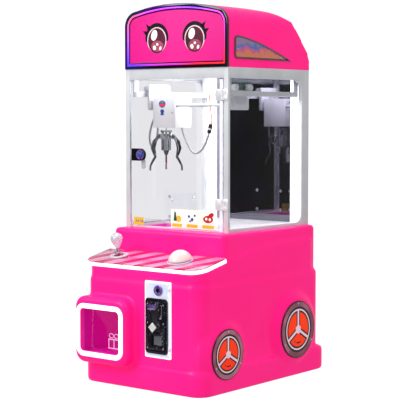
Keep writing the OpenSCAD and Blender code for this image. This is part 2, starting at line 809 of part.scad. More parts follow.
module light_columns() {
    color("white") both_sides() difference() {
        block([inner_hw - column_w, mirror_y - column_d, floor_z], [inner_hw - fit, mirror_y, ceiling_z - 1]);
        block([inner_hw - column_w + 3, mirror_y - column_d + 3, floor_z - 1],
              [inner_hw, mirror_y + 1, ceiling_z]);
    }
}

module top_tray() {
    color("white") difference() {
        union() {
            block([-inner_hw, cab_front, open_z1], [inner_hw, cab_front + 12, cab_z1]);
            block([-inner_hw, cab_front, ceiling_z], [inner_hw, cab_back - back_t, ceiling_z + ceiling_t]);
        }
        // vents over the crane
        for (i = [0:4]) slab(-90, 90, cab_front + 90 + 30 * i, cab_front + 96 + 30 * i,
                             ceiling_z - 1, ceiling_z + ceiling_t + 1, 2.9);
    }
}

// =============================== front door ===============================

door_x0 = -inner_hw + 1.5;
door_x1 = inner_hw - 3;

module door_glass() {
    color("lightcyan") difference() {
        upright(door_x0, door_x1, cab_z0 + 3, open_z1 - 2, door_y, door_y + glass_t, 2);
        rod_y(door_lock[0], door_y - 1, door_y + glass_t + 1, door_lock[1], 9.5 + fit);
    }
}

module door_hinge_posts() {
    x = hinge_pin[0];
    y = hinge_pin[1];
    color("silver") for (z = hinge_zs) {
        rod_z(x, y, z, z + hinge_h, 2.5);
        for (e = [z, z + hinge_h - 8]) {
            rod_z(x, y, e, e + 8, 4);
            block([x, y - 1, e], [inner_hw + 2, y + 2, e + 8]);
        }
        block([inner_hw + 1.3, cab_front - 3, z], [cab_w / 2, cab_front, z + hinge_h]);
        for (s = [6, hinge_h - 6]) rod_y(cab_w / 2 - 7, cab_front - 4.2, cab_front - 2, z + s, 3);
    }
}

module door_hinge_clamps() {
    x = hinge_pin[0];
    y = hinge_pin[1];
    y1 = door_y + glass_t;
    color("silver") for (z = hinge_zs) difference() {
        union() {
            rod_z(x, y, z + 8.3, z + hinge_h - 8.3, 4);
            block([x - 6, y - 2, z + 8.3], [x, y + 1.5, z + hinge_h - 8.3]);
            upright(door_x1 - 24, door_x1 - 5, z, z + hinge_h, door_y - 3.5, door_y, 2);
            upright(door_x1 - 24, door_x1 - 5, z, z + hinge_h, y1, y1 + 2.5, 2);
        }
        rod_z(x, y, z, z + hinge_h, 2.5 + fit);
    }
}

lock_y = door_y - 4;                    // face of the door lock's case
door_cam_y = cab_front + post_y + 0.5;

module door_lock_case() {
    x = door_lock[0];
    z = door_lock[1];
    color("darkslategray") difference() {
        union() {
            block([x - 34, lock_y, z - 17], [x, door_y, z + 17]);
            rod_y(x, lock_y, door_y, z, 17);
            rod_y(x, lock_y - 3, lock_y, z, 14);
            rod_y(x, lock_y - 1, door_cam_y - 0.3, z, 9.5);
        }
        rod_y(x, lock_y - 4, door_cam_y, z, 6 + run);
    }
}

module door_lock_cam() {
    color("silver") lock_cam(door_lock[0], door_lock[1], lock_y - 3, door_cam_y, door_lock[0] + inner_hw - 1.2, 90);
}

// =============================== crane ===============================

rail_y0 = cab_front + 14;
rail_y1 = mirror_y - column_d - 2;

module gantry_rails() {
    color("gainsboro") both_sides() {
        block([rail_hw - rail_w, rail_y0, rail_z - rail_h], [rail_hw, rail_y1, rail_z]);
        // brackets up to the ceiling
        for (y = [rail_y0, rail_y1 - 20])
            block([rail_hw - 3, y, rail_z], [rail_hw, y + 20, ceiling_z]);
    }
}

module bridge() {
    color("silver") {
        // rod that carries the cables over the winch cover
        rod_x(-truck_x, truck_x, home[1], guide_z, 2);
        for (s = [-1, 1]) rod_x(-truck_x - truck_t / 2 + 1, truck_x + truck_t / 2 - 1,
                                home[1] + s * rod_dy, rod_z, rod_d / 2);
        both_sides() {
            difference() {
                side_plate(home[1] - 44, home[1] + 44, rod_z - 13, rail_z + 20,
                           truck_x - truck_t / 2, truck_x + truck_t / 2, 6);
                for (s = [-1, 1]) rod_x(truck_x - 10, truck_x + 10, home[1] + s * rod_dy, rod_z, rod_d / 2);
            }
            // rollers on the rail and their axles
            for (s = [-1, 1]) {
                rod_x(truck_x + truck_t / 2 + 2, rail_hw - 4, home[1] + s * 32, rail_z + 9.3, 9);
                rod_x(truck_x, rail_hw - 5, home[1] + s * 32, rail_z + 9.3, 3);
            }
        }
    }
    // drive motor and gearbox on the right truck
    color("dimgray") {
        x0 = truck_x - truck_t / 2;
        block([x0 - 26, home[1] - 40, cover_z1 + 3], [x0 + 1, home[1] - 4, cover_z1 + 39]);
        rod_y(x0 - 13, home[1] - 5, home[1] + 44, cover_z1 + 21, 12.5);
    }
}

module trolley_chassis() {
    px0 = home[0] - cover_w / 2 + 5;
    px1 = home[0] + cover_w / 2 - 5;
    color("dimgray") {
        difference() {
            union() {
                block([px0, home[1] - cover_d / 2 + 5, cover_z1 - 10], [px1, home[1] + cover_d / 2 - 5, cover_z1 - 6]);
                for (s = [-1, 1], x = [px0, px1 - 14])
                    block([x, home[1] + s * rod_dy - 6, rod_z - 7], [x + 14, home[1] + s * rod_dy + 6, cover_z1 - 8]);
            }
            for (s = [-1, 1]) rod_x(px0 - 1, px1 + 1, home[1] + s * rod_dy, rod_z, rod_d / 2 + run);
        }
        // motor bracket and winch motor
        block([claw_axis[0] + spool_r - 14, home[1] + 4, spool_z - 14],
              [claw_axis[0] + spool_r + 14, home[1] + 7, cover_z1 - 8]);
        rod_y(claw_axis[0] + spool_r, home[1] + 7, home[1] + cover_d / 2 - 5, spool_z, 12);
    }
}

module trolley_cover() {
    x0 = home[0] - cover_w / 2;
    x1 = home[0] + cover_w / 2;
    y0 = home[1] - cover_d / 2;
    y1 = home[1] + cover_d / 2;
    color("white") difference() {
        slab(x0, x1, y0, y1, cover_z0, cover_z1, 4);
        slab(x0 + cover_t, x1 - cover_t, y0 + cover_t, y1 - cover_t, cover_z0 + cover_t,
             cover_z1 - 6, 3);
        for (s = [-1, 1]) rod_x(x0 - 1, x1 + 1, home[1] + s * rod_dy, rod_z, rod_d / 2 + 2);
        rod_z(claw_axis[0], claw_axis[1], cover_z0 - 1, cover_z0 + 5, 5);
    }
}

module winch_spool() {
    x = claw_axis[0] + spool_r;
    y = claw_axis[1];
    color("gold") {
        difference() {
            union() {
                rod_y(x, y - 6, y + 6, spool_z, spool_r - cord_r);
                for (e = [y - 8, y + 6]) rod_y(x, e, e + 2, spool_z, spool_r + 4);
            }
            rod_y(x, y - 9, y + 9, spool_z, 3);
        }
        rod_y(x, y - 9, home[1] + 4 - fit, spool_z, 3);
    }
}

module lift_cord() {
    color("black") rod_z(claw_axis[0], claw_axis[1], claw_top, spool_z, cord_r * 0.8);
}

// =============================== loom cables ===============================

function dir(a, b) = (b - a) / norm(b - a);
// mean direction of a route at point i
function tangent(p, i) = let (n = len(p) - 1)
    i == 0 ? dir(p[0], p[1]) : i == n ? dir(p[n - 1], p[n]) : dir(p[i - 1], p[i + 1]);
// point on a smooth curve through the route, t from 0 to 1 after point i
function curve(p, i, t) = let (
        n = len(p) - 1,
        a = p[max(i - 1, 0)], b = p[i], c = p[i + 1], d = p[min(i + 2, n)]
    ) 0.5 * (2 * b + (c - a) * t + (2 * a - 5 * b + 4 * c - d) * t * t
             + (3 * b - a - 3 * c + d) * t * t * t);
function smooth(p, steps) = concat(
    [for (i = [0:len(p) - 2], k = [0:steps - 1]) curve(p, i, k / steps)], [p[len(p) - 1]]);

// a round tube of radius r along a route that stays near a plane of constant y
module tube(route, r, sides) {
    p = smooth(route, 3);
    n = len(p);
    points = [for (i = [0:n - 1]) let (t = tangent(p, i), u = [0, 1, 0] - t * t[1],
                                       v = u / norm(u), w = cross(t, v))
        for (k = [0:sides - 1]) p[i] + r * (cos(360 * k / sides) * v + sin(360 * k / sides) * w)];
    sidefaces = [for (i = [0:n - 2], k = [0:sides - 1], h = [0, 1]) let (k1 = (k + 1) % sides)
        h == 0 ? [i * sides + k, (i + 1) * sides + k, (i + 1) * sides + k1]
               : [i * sides + k, (i + 1) * sides + k1, i * sides + k1]];
    cap0 = [for (k = [0:sides - 1]) k];
    cap1 = [for (k = [0:sides - 1]) n * sides - 1 - k];
    polyhedron(points, concat(sidefaces, [cap0, cap1]), convexity = 6);
}

// routes from the bridge to the winch cover, relative to the parked cover's lower centre
left_route = [[-49, -6, 48.6], [-51, -8, 40], [-59, -18, 12], [-63, -24, -20], [-60, -26, -42],
              [-50, -28, -54], [-39, -28, -44], [-33, -27, -22], [-31, -27, -8], [-30, -27, -0.7]];
right_route = [[34, 2, -0.7], [36, 2, -8], [44, 2, -28], [56, 2, -48], [70, 2, -66], [86, 2, -70], [102, 2, -62],
               [116, 2, -46], [125, 2, -28], [130, 2, -14]];
wire_route = [[136, 2, 8], [139, 2, 24], [137, 1, 44], [135, 0, 64], [134, 0, 80], [134, 0, 89.8]];

module loom_cables() {
    translate([home[0], home[1], cover_z0]) {
        color("gray") tube(left_route, 2, 8);
        color("whitesmoke") tube(right_route, 2, 8);
        color("dimgray") translate([133, 2, -2]) rotate([0, 14, 0]) slab(-5, 5, -4, 4, -13, 12, 2);
        color("orange") tube(wire_route, 1.5, 8);
    }
}

// =============================== claw ===============================

module at_claw() { translate([claw_axis[0], claw_axis[1], claw_top]) children(); }

module claw_body() {
    color("silver") at_claw() difference() {
        union() {
            rod_z(0, 0, -5, 0, 16);
            rod_z(0, 0, -25, -21, 15);
            rod_z(0, 0, -56, -23, coil_r);
            for (a = claw_angles) rotate(a + 60) block([9.5, -3, -22], [14.5, 3, -4]);
            // ears either side of each finger, and the pin across them
            for (a = claw_angles) rotate(a) {
                for (s = [-1, 1]) block([11.5, s * 4.3 - 1.3, -24], [pivot_r + 4, s * 4.3 + 1.3, pivot_z + 4]);
                rod_y(pivot_r, -4.5, 4.5, pivot_z, 1.6);
            }
        }
        rod_z(0, 0, -50, -18, 3.2);
    }
}

groove = 2.1;                           // half the width of the plunger's groove

module claw_plunger() {
    color("gold") at_claw() {
        rod_z(0, 0, -46, pivot_z + groove + 1.2, 3);
        for (z = [-groove - 1.2, groove]) rod_z(0, 0, pivot_z + z, pivot_z + z + 1.2, 8);
    }
}

// an open finger in its own plane, in x and z: pivot, shoulder, elbow and tip
module finger_outline() {
    spread = claw_reach - pivot_r;
    polygon([
        [pivot_r, pivot_z + 3.4], [pivot_r + 8, pivot_z + 2.4], [pivot_r + spread * 0.6, pivot_z - 14],
        [pivot_r + spread * 0.78, pivot_z - 36], [pivot_r + spread * 0.58, pivot_z - 59],
        [pivot_r + spread * 0.82, pivot_z - 72], [pivot_r + spread, pivot_z - 84],
        [pivot_r + spread * 1.02, pivot_z - 98], [pivot_r + spread * 0.94, pivot_z - 98],
        [pivot_r + spread * 0.9, pivot_z - 85], [pivot_r + spread * 0.72, pivot_z - 75],
        [pivot_r + spread * 0.42, pivot_z - 61], [pivot_r + spread * 0.52, pivot_z - 36],
        [pivot_r + spread * 0.38, pivot_z - 17], [pivot_r + 3, pivot_z - 3.4], [pivot_r, pivot_z - 3.4]
    ]);
}

// the broad curved plate of a finger's upper arm
module finger_plate() {
    spread = claw_reach - pivot_r;
    intersection() {
        translate([0, 10, 0]) rotate([90, 0, 0]) linear_extrude(20) polygon([
            [pivot_r + spread * 0.34, pivot_z - 5], [pivot_r + spread * 0.6, pivot_z - 14],
            [pivot_r + spread * 0.78, pivot_z - 36], [pivot_r + spread * 0.6, pivot_z - 57],
            [pivot_r + spread * 0.53, pivot_z - 55], [pivot_r + spread * 0.71, pivot_z - 36],
            [pivot_r + spread * 0.54, pivot_z - 16], [pivot_r + spread * 0.3, pivot_z - 8]
        ]);
        rotate([90, 0, 90]) linear_extrude(2 * claw_reach) polygon([
            [-4, pivot_z - 3], [-9, pivot_z - 18], [-9.5, pivot_z - 34], [-7, pivot_z - 48],
            [-3, pivot_z - 58], [3, pivot_z - 58], [7, pivot_z - 48], [9.5, pivot_z - 34],
            [9, pivot_z - 18], [4, pivot_z - 3]
        ]);
    }
}

module claw_finger(a) {
    color("silver") at_claw() rotate(a) difference() {
        union() {
            translate([0, finger_t / 2, 0]) rotate([90, 0, 0]) linear_extrude(finger_t) finger_outline();
            finger_plate();
            rod_y(pivot_r, -finger_t / 2, finger_t / 2, pivot_z, 3.8);
            // toe that sits in the plunger's groove
            block([5.6, -2, pivot_z - 1.5], [pivot_r - 2, 2, pivot_z + 1.5]);
        }
        rod_y(pivot_r, -6, 6, pivot_z, 1.6 + run);
    }
}

module claw_finger_1() { claw_finger(claw_angles[0]); }

module claw_finger_2() { claw_finger(claw_angles[1]); }

module claw_finger_3() { claw_finger(claw_angles[2]); }

// =============================== roof ===============================

// side view of the roof's top line
module roof_profile(inset) {
    h = roof_top - roof_z;
    polygon([
        [roof_front - 1, roof_z - 1], [roof_front - 1, roof_top + 1 - inset],
        [roof_front + 115, roof_top - inset], [roof_front + 185, roof_z + h * 0.945 - inset],
        [roof_front + 246, roof_z + h * 0.855 - inset], [roof_front + 293, roof_z + h * 0.765 - inset],
        [roof_front + 311, roof_z + h * 0.65 - inset], [roof_back - 8, roof_z + h * 0.28 - inset],
        [roof_back - inset, roof_z + h * 0.16 - inset], [roof_back - inset, roof_z - 1]
    ]);
}

module roof_solid(inset, y0) {
    intersection() {
        arch_plate(inset, y0, roof_back);
        translate([-cab_w, 0, 0]) rotate([90, 0, 90]) linear_extrude(2 * cab_w) roof_profile(inset);
    }
}

module roof_shell() {
    color("deeppink") difference() {
        roof_solid(0, roof_front + 4);
        translate([0, 0, -shell_wall - 1]) roof_solid(shell_wall, roof_front);
        roof_solid(shell_wall, roof_front);
        block([-roof_hw + shell_wall, roof_front, roof_z - 1],
              [roof_hw - shell_wall, roof_back - shell_wall, roof_z + shell_wall + 1]);
    }
}

module marquee_trim() {
    color("black") difference() {
        arch_plate(0, roof_front - 4, roof_front + 4);
        arch_plate(trim_w, roof_front - 5, roof_front + 5);
        arch_plate(9, roof_front - 5, roof_front - 1);
    }
}

module marquee_light() {
    color("magenta") difference() {
        arch_plate(9 + fit, roof_front - 3.5, roof_front - 1);
        arch_plate(13, roof_front - 6, roof_front + 1);
    }
}

module marquee_panel() { color("hotpink") arch_plate(trim_w + fit, roof_front, roof_front + 3); }

fin_z = roof_z + 22;
fin_y0 = roof_front + 25;
fin_y1 = roof_front + 287;
fin_h = 62;
fin_screws = [[fin_y0 + 12, fin_z + 26], [fin_y0 + 208, fin_z + 8]];

// outline of a side fin window: upright at the front, tapering to a point at the back
module fin_outline() {
    n = 10;
    polygon(concat(
        [[fin_y0 + 10, fin_z], [fin_y0 + 3, fin_z + 3], [fin_y0, fin_z + 10]],
        [[fin_y0, fin_z + fin_h - 10], [fin_y0 + 4, fin_z + fin_h - 3], [fin_y0 + 12, fin_z + fin_h]],
        [for (i = [1:n]) let (t = i / n)
            [fin_y0 + 12 + (fin_y1 - fin_y0 - 12) * t, fin_z + fin_h * (1 - pow(t, 1.45))]]
    ));
}

module fin_windows() {
    color("slategray") both_sides() translate([roof_hw, 0, 0]) rotate([90, 0, 90])
        linear_extrude(3) fin_outline();
}

// =============================== nodes ===============================

base_shell();
base_plate();
rubber_feet();
wheel_discs();
deck_panel();
deck_light_strip();
prize_light_ring();
prize_chute();
rear_panel();
fixing_screws();
coin_box();
power_supply();
control_board();
power_inlet();
joystick_base();
button_housing();
coin_door_frame();
playfield_floor();
chute_guard();
side_frame_left();
side_frame_right();
side_windows();
back_panel();
back_mirror();
light_columns();
top_tray();
gantry_rails();
door_hinge_posts();
roof_shell();
marquee_panel();
marquee_trim();
marquee_light();
fin_windows();
prize_flap();
coin_door();
coin_acceptor();
coin_door_lock();
coin_door_cam();
coin_reject_lever();
coin_return_flap();
power_switch();
joystick_gimbal();
joystick_shaft();
joystick_knob();
button_cap();
door_glass();
door_hinge_clamps();
door_lock_case();
door_lock_cam();
bridge();
trolley_chassis();
trolley_cover();
winch_spool();
lift_cord();
loom_cables();
claw_body();
claw_plunger();
claw_finger_1();
claw_finger_2();
claw_finger_3();
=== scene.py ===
import json
import math

import bmesh
import bpy
from mathutils import Matrix, Vector


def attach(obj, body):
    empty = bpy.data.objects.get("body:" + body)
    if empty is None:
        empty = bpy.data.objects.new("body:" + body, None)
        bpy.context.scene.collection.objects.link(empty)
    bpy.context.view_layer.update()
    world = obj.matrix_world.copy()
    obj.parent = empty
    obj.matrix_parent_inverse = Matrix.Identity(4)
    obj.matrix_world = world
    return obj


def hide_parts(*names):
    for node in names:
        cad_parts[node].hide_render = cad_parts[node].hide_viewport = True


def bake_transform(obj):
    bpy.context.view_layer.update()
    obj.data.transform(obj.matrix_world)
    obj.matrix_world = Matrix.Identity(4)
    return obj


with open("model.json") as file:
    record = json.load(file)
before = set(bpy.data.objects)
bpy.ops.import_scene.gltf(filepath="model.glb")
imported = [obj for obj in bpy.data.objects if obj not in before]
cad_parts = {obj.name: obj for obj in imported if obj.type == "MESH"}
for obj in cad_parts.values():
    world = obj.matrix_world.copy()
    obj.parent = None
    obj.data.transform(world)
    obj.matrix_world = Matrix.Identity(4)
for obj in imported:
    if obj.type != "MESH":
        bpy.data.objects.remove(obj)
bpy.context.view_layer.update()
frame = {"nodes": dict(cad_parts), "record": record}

MM = 0.001
nodes = frame["nodes"]


# ---------------------------------------------------------------- materials

def colour(hex_code):
    """A linear RGBA colour from an sRGB hex code."""
    parts = [int(hex_code[i:i + 2], 16) / 255 for i in (1, 3, 5)]
    return [p / 12.92 if p <= 0.04045 else ((p + 0.055) / 1.055) ** 2.4 for p in parts] + [1.0]


def add(mat, kind, links=(), settings=(), **values):
    """Adds a node: settings are its own properties, values its sockets, links its inputs."""
    made = mat.node_tree.nodes.new(kind)
    for key, value in dict(settings).items():
        setattr(made, key, value)
    for key, value in values.items():
        made.inputs[key.replace("_", " ")].default_value = value
    for key, socket in dict(links).items():
        mat.node_tree.links.new(made.inputs[key], socket)
    return made


def ramp(mat, fac, stops, smooth=True):
    """A colour ramp on fac, from (position, colour) stops."""
    made = add(mat, "ShaderNodeValToRGB", {"Fac": fac})
    made.color_ramp.interpolation = "EASE" if smooth else "CONSTANT"
    for i, (place, shade) in enumerate(stops):
        stop = made.color_ramp.elements[i] if i < 2 else made.color_ramp.elements.new(place)
        stop.position = place
        stop.color = colour(shade) if isinstance(shade, str) else shade
    return made


def blank(name):
    """A new material with only its output, and that output."""
    mat = bpy.data.materials.new(name)
    mat.use_nodes = True
    mat.node_tree.nodes.clear()
    return mat, mat.node_tree.nodes.new("ShaderNodeOutputMaterial")


def finish(name, tones, rough, grain, bump=0.05, metal=0.0, cloud=60, **sockets):
    """A principled material: two tones that drift over cloud mm, and a grain in mm that lifts
    the surface and breaks up its roughness, given as (smoothest, roughest)."""
    mat, out = blank(name)
    place = add(mat, "ShaderNodeTexCoord").outputs["Object"]
    drift = add(mat, "ShaderNodeTexNoise", {"Vector": place}, Scale=1000 / cloud, Detail=2.0)
    fine = add(mat, "ShaderNodeTexNoise", {"Vector": place}, Scale=1000 / grain, Detail=3.0)
    tone = ramp(mat, drift.outputs["Fac"], [(0.3, tones[0]), (0.7, tones[1])])
    gloss = add(mat, "ShaderNodeMapRange", {"Value": fine.outputs["Fac"]},
                To_Min=rough[0], To_Max=rough[1])
    lift = add(mat, "ShaderNodeBump", {"Height": fine.outputs["Fac"]},
               Strength=bump, Distance=grain * MM * 0.2)
    shader = add(mat, "ShaderNodeBsdfPrincipled", {
        "Base Color": tone.outputs["Color"], "Roughness": gloss.outputs["Result"],
        "Normal": lift.outputs["Normal"]}, Metallic=metal, **sockets)
    mat.node_tree.links.new(out.inputs["Surface"], shader.outputs["BSDF"])
    return mat


def sheet_glass(name, clear, mirrored=0.9):
    """Flat acrylic: it passes lamps, is tinted by clear at each face, and gives a sharp
    reflection at its outer faces that grows towards grazing angles."""
    mat, out = blank(name)
    place = add(mat, "ShaderNodeTexCoord").outputs["Object"]
    smear = add(mat, "ShaderNodeTexNoise", {"Vector": place}, Scale=14.0, Detail=2.0)
    gloss = add(mat, "ShaderNodeMapRange", {"Value": smear.outputs["Fac"]}, To_Min=0.01, To_Max=0.06)
    edge_on = add(mat, "ShaderNodeFresnel", IOR=1.49)
    inside = add(mat, "ShaderNodeNewGeometry").outputs["Backfacing"]
    outer = add(mat, "ShaderNodeMath", {1: inside}, {"operation": "SUBTRACT"})
    outer.inputs[0].default_value = mirrored
    limit = add(mat, "ShaderNodeMath", {0: outer.outputs[0]}, {"operation": "MAXIMUM"})
    limit.inputs[1].default_value = 0
    share = add(mat, "ShaderNodeMath", {0: edge_on.outputs["Fac"], 1: limit.outputs[0]},
                {"operation": "MULTIPLY"})
    through = add(mat, "ShaderNodeBsdfTransparent", Color=colour(clear))
    shine = add(mat, "ShaderNodeBsdfPrincipled", {"Roughness": gloss.outputs["Result"]},
                Base_Color=colour("#FFFFFF"), Metallic=1.0)
    both = add(mat, "ShaderNodeMixShader", {0: share.outputs[0], 1: through.outputs[0],
                                            2: shine.outputs[0]})
    mat.node_tree.links.new(out.inputs["Surface"], both.outputs["Shader"])
    return mat


def lit_plastic(name, shade, strength, body="#FFFFFF"):
    """Opal plastic lit from inside, a little uneven as the lamps behind it are."""
    mat, out = blank(name)
    place = add(mat, "ShaderNodeTexCoord").outputs["Object"]
    drift = add(mat, "ShaderNodeTexNoise", {"Vector": place}, Scale=45.0, Detail=1.0)
    light = ramp(mat, drift.outputs["Fac"], [(0.2, shade), (0.8, body)])
    shader = add(mat, "ShaderNodeBsdfPrincipled", {"Emission Color": light.outputs["Color"]},
                 Base_Color=colour(body), Roughness=0.35, Emission_Strength=strength)
    mat.node_tree.links.new(out.inputs["Surface"], shader.outputs["BSDF"])
    return mat


# Moulded glass-fibre shell, sprayed a deep even pink with faint orange peel. Its emission is
# a painted glow that brightens the whole shell evenly, standing in for light.
pink_shell_painted_glow = finish("moulded_pink_shell_painted_glow", ("#FF1C90", "#FF2696"), (0.26, 0.34), 2.5, 0.04, cloud=180,
                    Specular_IOR_Level=0.25, Emission_Color=colour("#FF0069"), Emission_Strength=0.42)
# Powder-coated sheet steel: cool white with a fine texture.
white_powder = finish("white_powder_coat", ("#DCDFE4", "#E6E8EC"), (0.38, 0.5), 1.2, 0.12)
# Injection-moulded white ABS.
white_abs = finish("white_abs", ("#F2F2F5", "#FAFAFC"), (0.3, 0.42), 1.0, 0.06)
# White laminate on the playfield board.
white_laminate = finish("white_laminate", ("#F0F0F6", "#F8F7FC"), (0.2, 0.3), 3.0, 0.04)
# Black ABS with a leathery mould texture.
black_abs = finish("black_textured_abs", ("#101014", "#1A1A20"), (0.35, 0.55), 0.8, 0.2)
# Black enamelled steel.
black_enamel = finish("black_enamel", ("#0E0D12", "#17151C"), (0.18, 0.26), 2.0, 0.04)
# Bright chrome plate on zinc castings: near mirror with faint polishing marks.
chrome = finish("chrome_plate", ("#D4D6DC", "#E2E4E8"), (0.06, 0.14), 1.5, 0.02, metal=1.0)
# Dark nickel-chrome on the claw.
dark_chrome = finish("dark_nickel_plate", ("#7E8088", "#A2A4AC"), (0.08, 0.16), 2.0, 0.03, metal=1.0)
# Brushed zinc-plated steel.
zinc = finish("zinc_plated_steel", ("#A9ADB3", "#C4C8CE"), (0.28, 0.42), 0.9, 0.08, metal=1.0)
# Turned brass.
brass = finish("turned_brass", ("#B08A45", "#C9A25A"), (0.22, 0.34), 0.7, 0.06, metal=1.0)
# Vulcanised rubber.
rubber = finish("black_rubber", ("#121212", "#1C1C1C"), (0.7, 0.85), 0.8, 0.2)
# Pressed board.
board = finish("pressed_board", ("#8A6B48", "#A5855C"), (0.7, 0.85), 1.5, 0.3)
# Solder mask on a circuit board.
solder_mask = finish("green_solder_mask", ("#0E5A34", "#127040"), (0.25, 0.35), 2.0, 0.05)
# PVC cable jackets.
grey_jacket = finish("grey_pvc_jacket", ("#A8A6AE", "#C8C6CE"), (0.35, 0.45), 2.5, 0.35)
orange_jacket = finish("orange_pvc_jacket", ("#E08030", "#F09848"), (0.35, 0.45), 1.0, 0.08)
# Braided hoist cord.
black_cord = finish("braided_black_cord", ("#18181C", "#26262A"), (0.6, 0.75), 0.6, 0.4)
# Back-silvered acrylic mirror.
mirror = finish("silvered_acrylic", ("#74727E", "#7E7C88"), (0.01, 0.03), 30, 0.0, metal=1.0)
clear_sheet = sheet_glass("clear_acrylic_sheet", "#F8F8F9", 0.4)
clear_guard = sheet_glass("clear_acrylic_guard", "#FEFEFF", 0.25)
pink_sheet = sheet_glass("pink_tinted_acrylic", "#F2BCEE", 0.6)
opal_lit = lit_plastic("opal_light_strip", "#FFECF4", 1.25)
column_lit = lit_plastic("opal_light_column", "#ECEAFF", 1.3)
surround_lit = lit_plastic("opal_coin_surround", "#DCE8FF", 0.75)
# Magenta plastic bin; its emission is a painted glow for the light of the ring round its mouth.
bin_pink_painted_glow = finish("magenta_bin_plastic_painted_glow", ("#DC28AC", "#EC48C4"), (0.3, 0.4), 2.0, 0.05, cloud=120,
                  Emission_Color=colour("#E028B0"), Emission_Strength=0.22)


# ---------------------------------------------------------------- shapes, in millimetres

def rounded(low, high, corner=0, axis=2, soft=0, steps=6, soft_steps=3):
    """A block whose four edges along axis are rounded by corner, and then the rest by soft."""
    bm = bmesh.new()
    low, high = Vector(low), Vector(high)
    bmesh.ops.create_cube(bm, size=1, matrix=Matrix.Translation((low + high) / 2)
                          @ Matrix.Diagonal((*(high - low), 1)))
    if corner:
        along = [e for e in bm.edges
                 if abs((e.verts[0].co - e.verts[1].co).normalized()[axis]) > 0.99]
        bmesh.ops.bevel(bm, geom=along, offset=corner, affect="EDGES", segments=steps,
                        profile=0.5, material=-1)
    if soft:
        rest = [e for e in bm.edges if e.calc_face_angle(0) > 1.0]
        bmesh.ops.bevel(bm, geom=rest, offset=soft, affect="EDGES", segments=soft_steps,
                        profile=0.5, material=-1)
    return bm


def turned(profile, centre=(0, 0, 0), turn=Matrix.Identity(4), steps=48):
    """A solid of revolution about Z from (radius, height) points, then turned and placed."""
    bm = bmesh.new()
    verts = [bm.verts.new((r, 0, z)) for r, z in profile]
    edges = [bm.edges.new(pair) for pair in zip(verts, verts[1:])]
    bmesh.ops.spin(bm, geom=verts + edges, cent=(0, 0, 0), axis=(0, 0, 1),
                   angle=math.tau, steps=steps, use_merge=True)
    bmesh.ops.remove_doubles(bm, verts=bm.verts, dist=0.001)
    bmesh.ops.recalc_face_normals(bm, faces=bm.faces)
    bmesh.ops.transform(bm, verts=bm.verts, matrix=Matrix.Translation(centre) @ turn)
    return bm


def outline(points, depth, matrix=Matrix.Identity(4), soft=0, border=0):
    """A plate cut to an outline of (x, y) points, depth thick upwards, then placed by matrix.
    With a border, what is inside it on the top face gets the second material."""
    bm = bmesh.new()
    face = bm.faces.new([bm.verts.new((x, y, 0)) for x, y in points])
    made = bmesh.ops.extrude_face_region(bm, geom=[face])
    top = [g for g in made["geom"] if isinstance(g, bmesh.types.BMVert)]
    bmesh.ops.translate(bm, verts=top, vec=(0, 0, depth))
    bmesh.ops.recalc_face_normals(bm, faces=bm.faces)
    if soft:
        rims = [e for e in bm.edges if e.calc_face_angle(0) > 1.0
                and abs(e.verts[0].co.z - e.verts[1].co.z) < 1e-6]
        bmesh.ops.bevel(bm, geom=rims, offset=soft, affect="EDGES", segments=2,
                        profile=0.5, material=-1)
    if border:
        cap = max(bm.faces, key=lambda f: f.calc_center_median().z + f.calc_area() * 1e-6)
        bmesh.ops.inset_region(bm, faces=[cap], thickness=border, use_even_offset=True)
        cap.material_index = 1
    bmesh.ops.transform(bm, verts=bm.verts, matrix=matrix)
    bmesh.ops.recalc_face_normals(bm, faces=bm.faces)
    return bm


def combine(target, *parts, material=0):
    """Adds the parts to target on that material slot, or on their own slots if it is None."""
    for part in parts:
        for face in part.faces:
            if material is not None:
                face.material_index = material
        scratch = bpy.data.meshes.new("scratch")
        part.to_mesh(scratch)
        part.free()
        target.from_mesh(scratch)
        bpy.data.meshes.remove(scratch)
    return target


def ring(inner, outer, low, high, matrix, steps=64):
    """A flat ring between two radii and two heights."""
    return turned([(inner, low), (outer, low), (outer, high), (inner, high), (inner, low)],
                  (0, 0, 0), matrix, steps)


def oval(centre, across, up, matrix, depth, tilt=0, count=40):
    """An oval plate."""
    turn = math.radians(tilt)
    angles = [i * math.tau / count for i in range(count)]
    points = [(across * math.cos(a), up * math.sin(a)) for a in angles]
    return outline([(centre[0] + x * math.cos(turn) - y * math.sin(turn),
                     centre[1] + x * math.sin(turn) + y * math.cos(turn)) for x, y in points],
                   depth, matrix)


def through_points(points, each=8):
    """A smooth line through the points (Catmull-Rom)."""
    ends = [points[0], *points, points[-1]]
    line = []
    for a, b, c, d in zip(ends, ends[1:], ends[2:], ends[3:]):
        a, b, c, d = Vector(a), Vector(b), Vector(c), Vector(d)
        for i in range(each):
            t = i / each
            line.append(0.5 * (2 * b + (c - a) * t + (2 * a - 5 * b + 4 * c - d) * t * t
                               + (3 * b - a - 3 * c + d) * t ** 3))
    return line + [Vector(points[-1])]


def tube(points, radius, resolution=3, closed=False):
    """A round bar along a line of points."""
    data = bpy.data.curves.new("route", "CURVE")
    data.dimensions, data.bevel_depth, data.bevel_resolution = "3D", radius, resolution
    data.use_fill_caps = not closed
    spline = data.splines.new("POLY")
    spline.points.add(len(points) - 1)
    for place, point in zip(spline.points, points):
        place.co = (*point, 1)
    spline.use_cyclic_u = closed
    holder = bpy.data.objects.new("route", data)
    mesh = bpy.data.meshes.new_from_object(holder)
    bm = bmesh.new()
    bm.from_mesh(mesh)
    bpy.data.objects.remove(holder)
    bpy.data.curves.remove(data)
    bpy.data.meshes.remove(mesh)
    bmesh.ops.recalc_face_normals(bm, faces=bm.faces)
    return bm


def round_ended(y0, y1, z, radius):
    """An outline with two round ends, at y0 and y1, as (y, z) points."""
    half = [i * math.pi / 16 - math.pi / 2 for i in range(17)]
    return ([(y1 + radius * math.cos(a), z + radius * math.sin(a)) for a in half]
            + [(y0 - radius * math.cos(a), z - radius * math.sin(a)) for a in half])


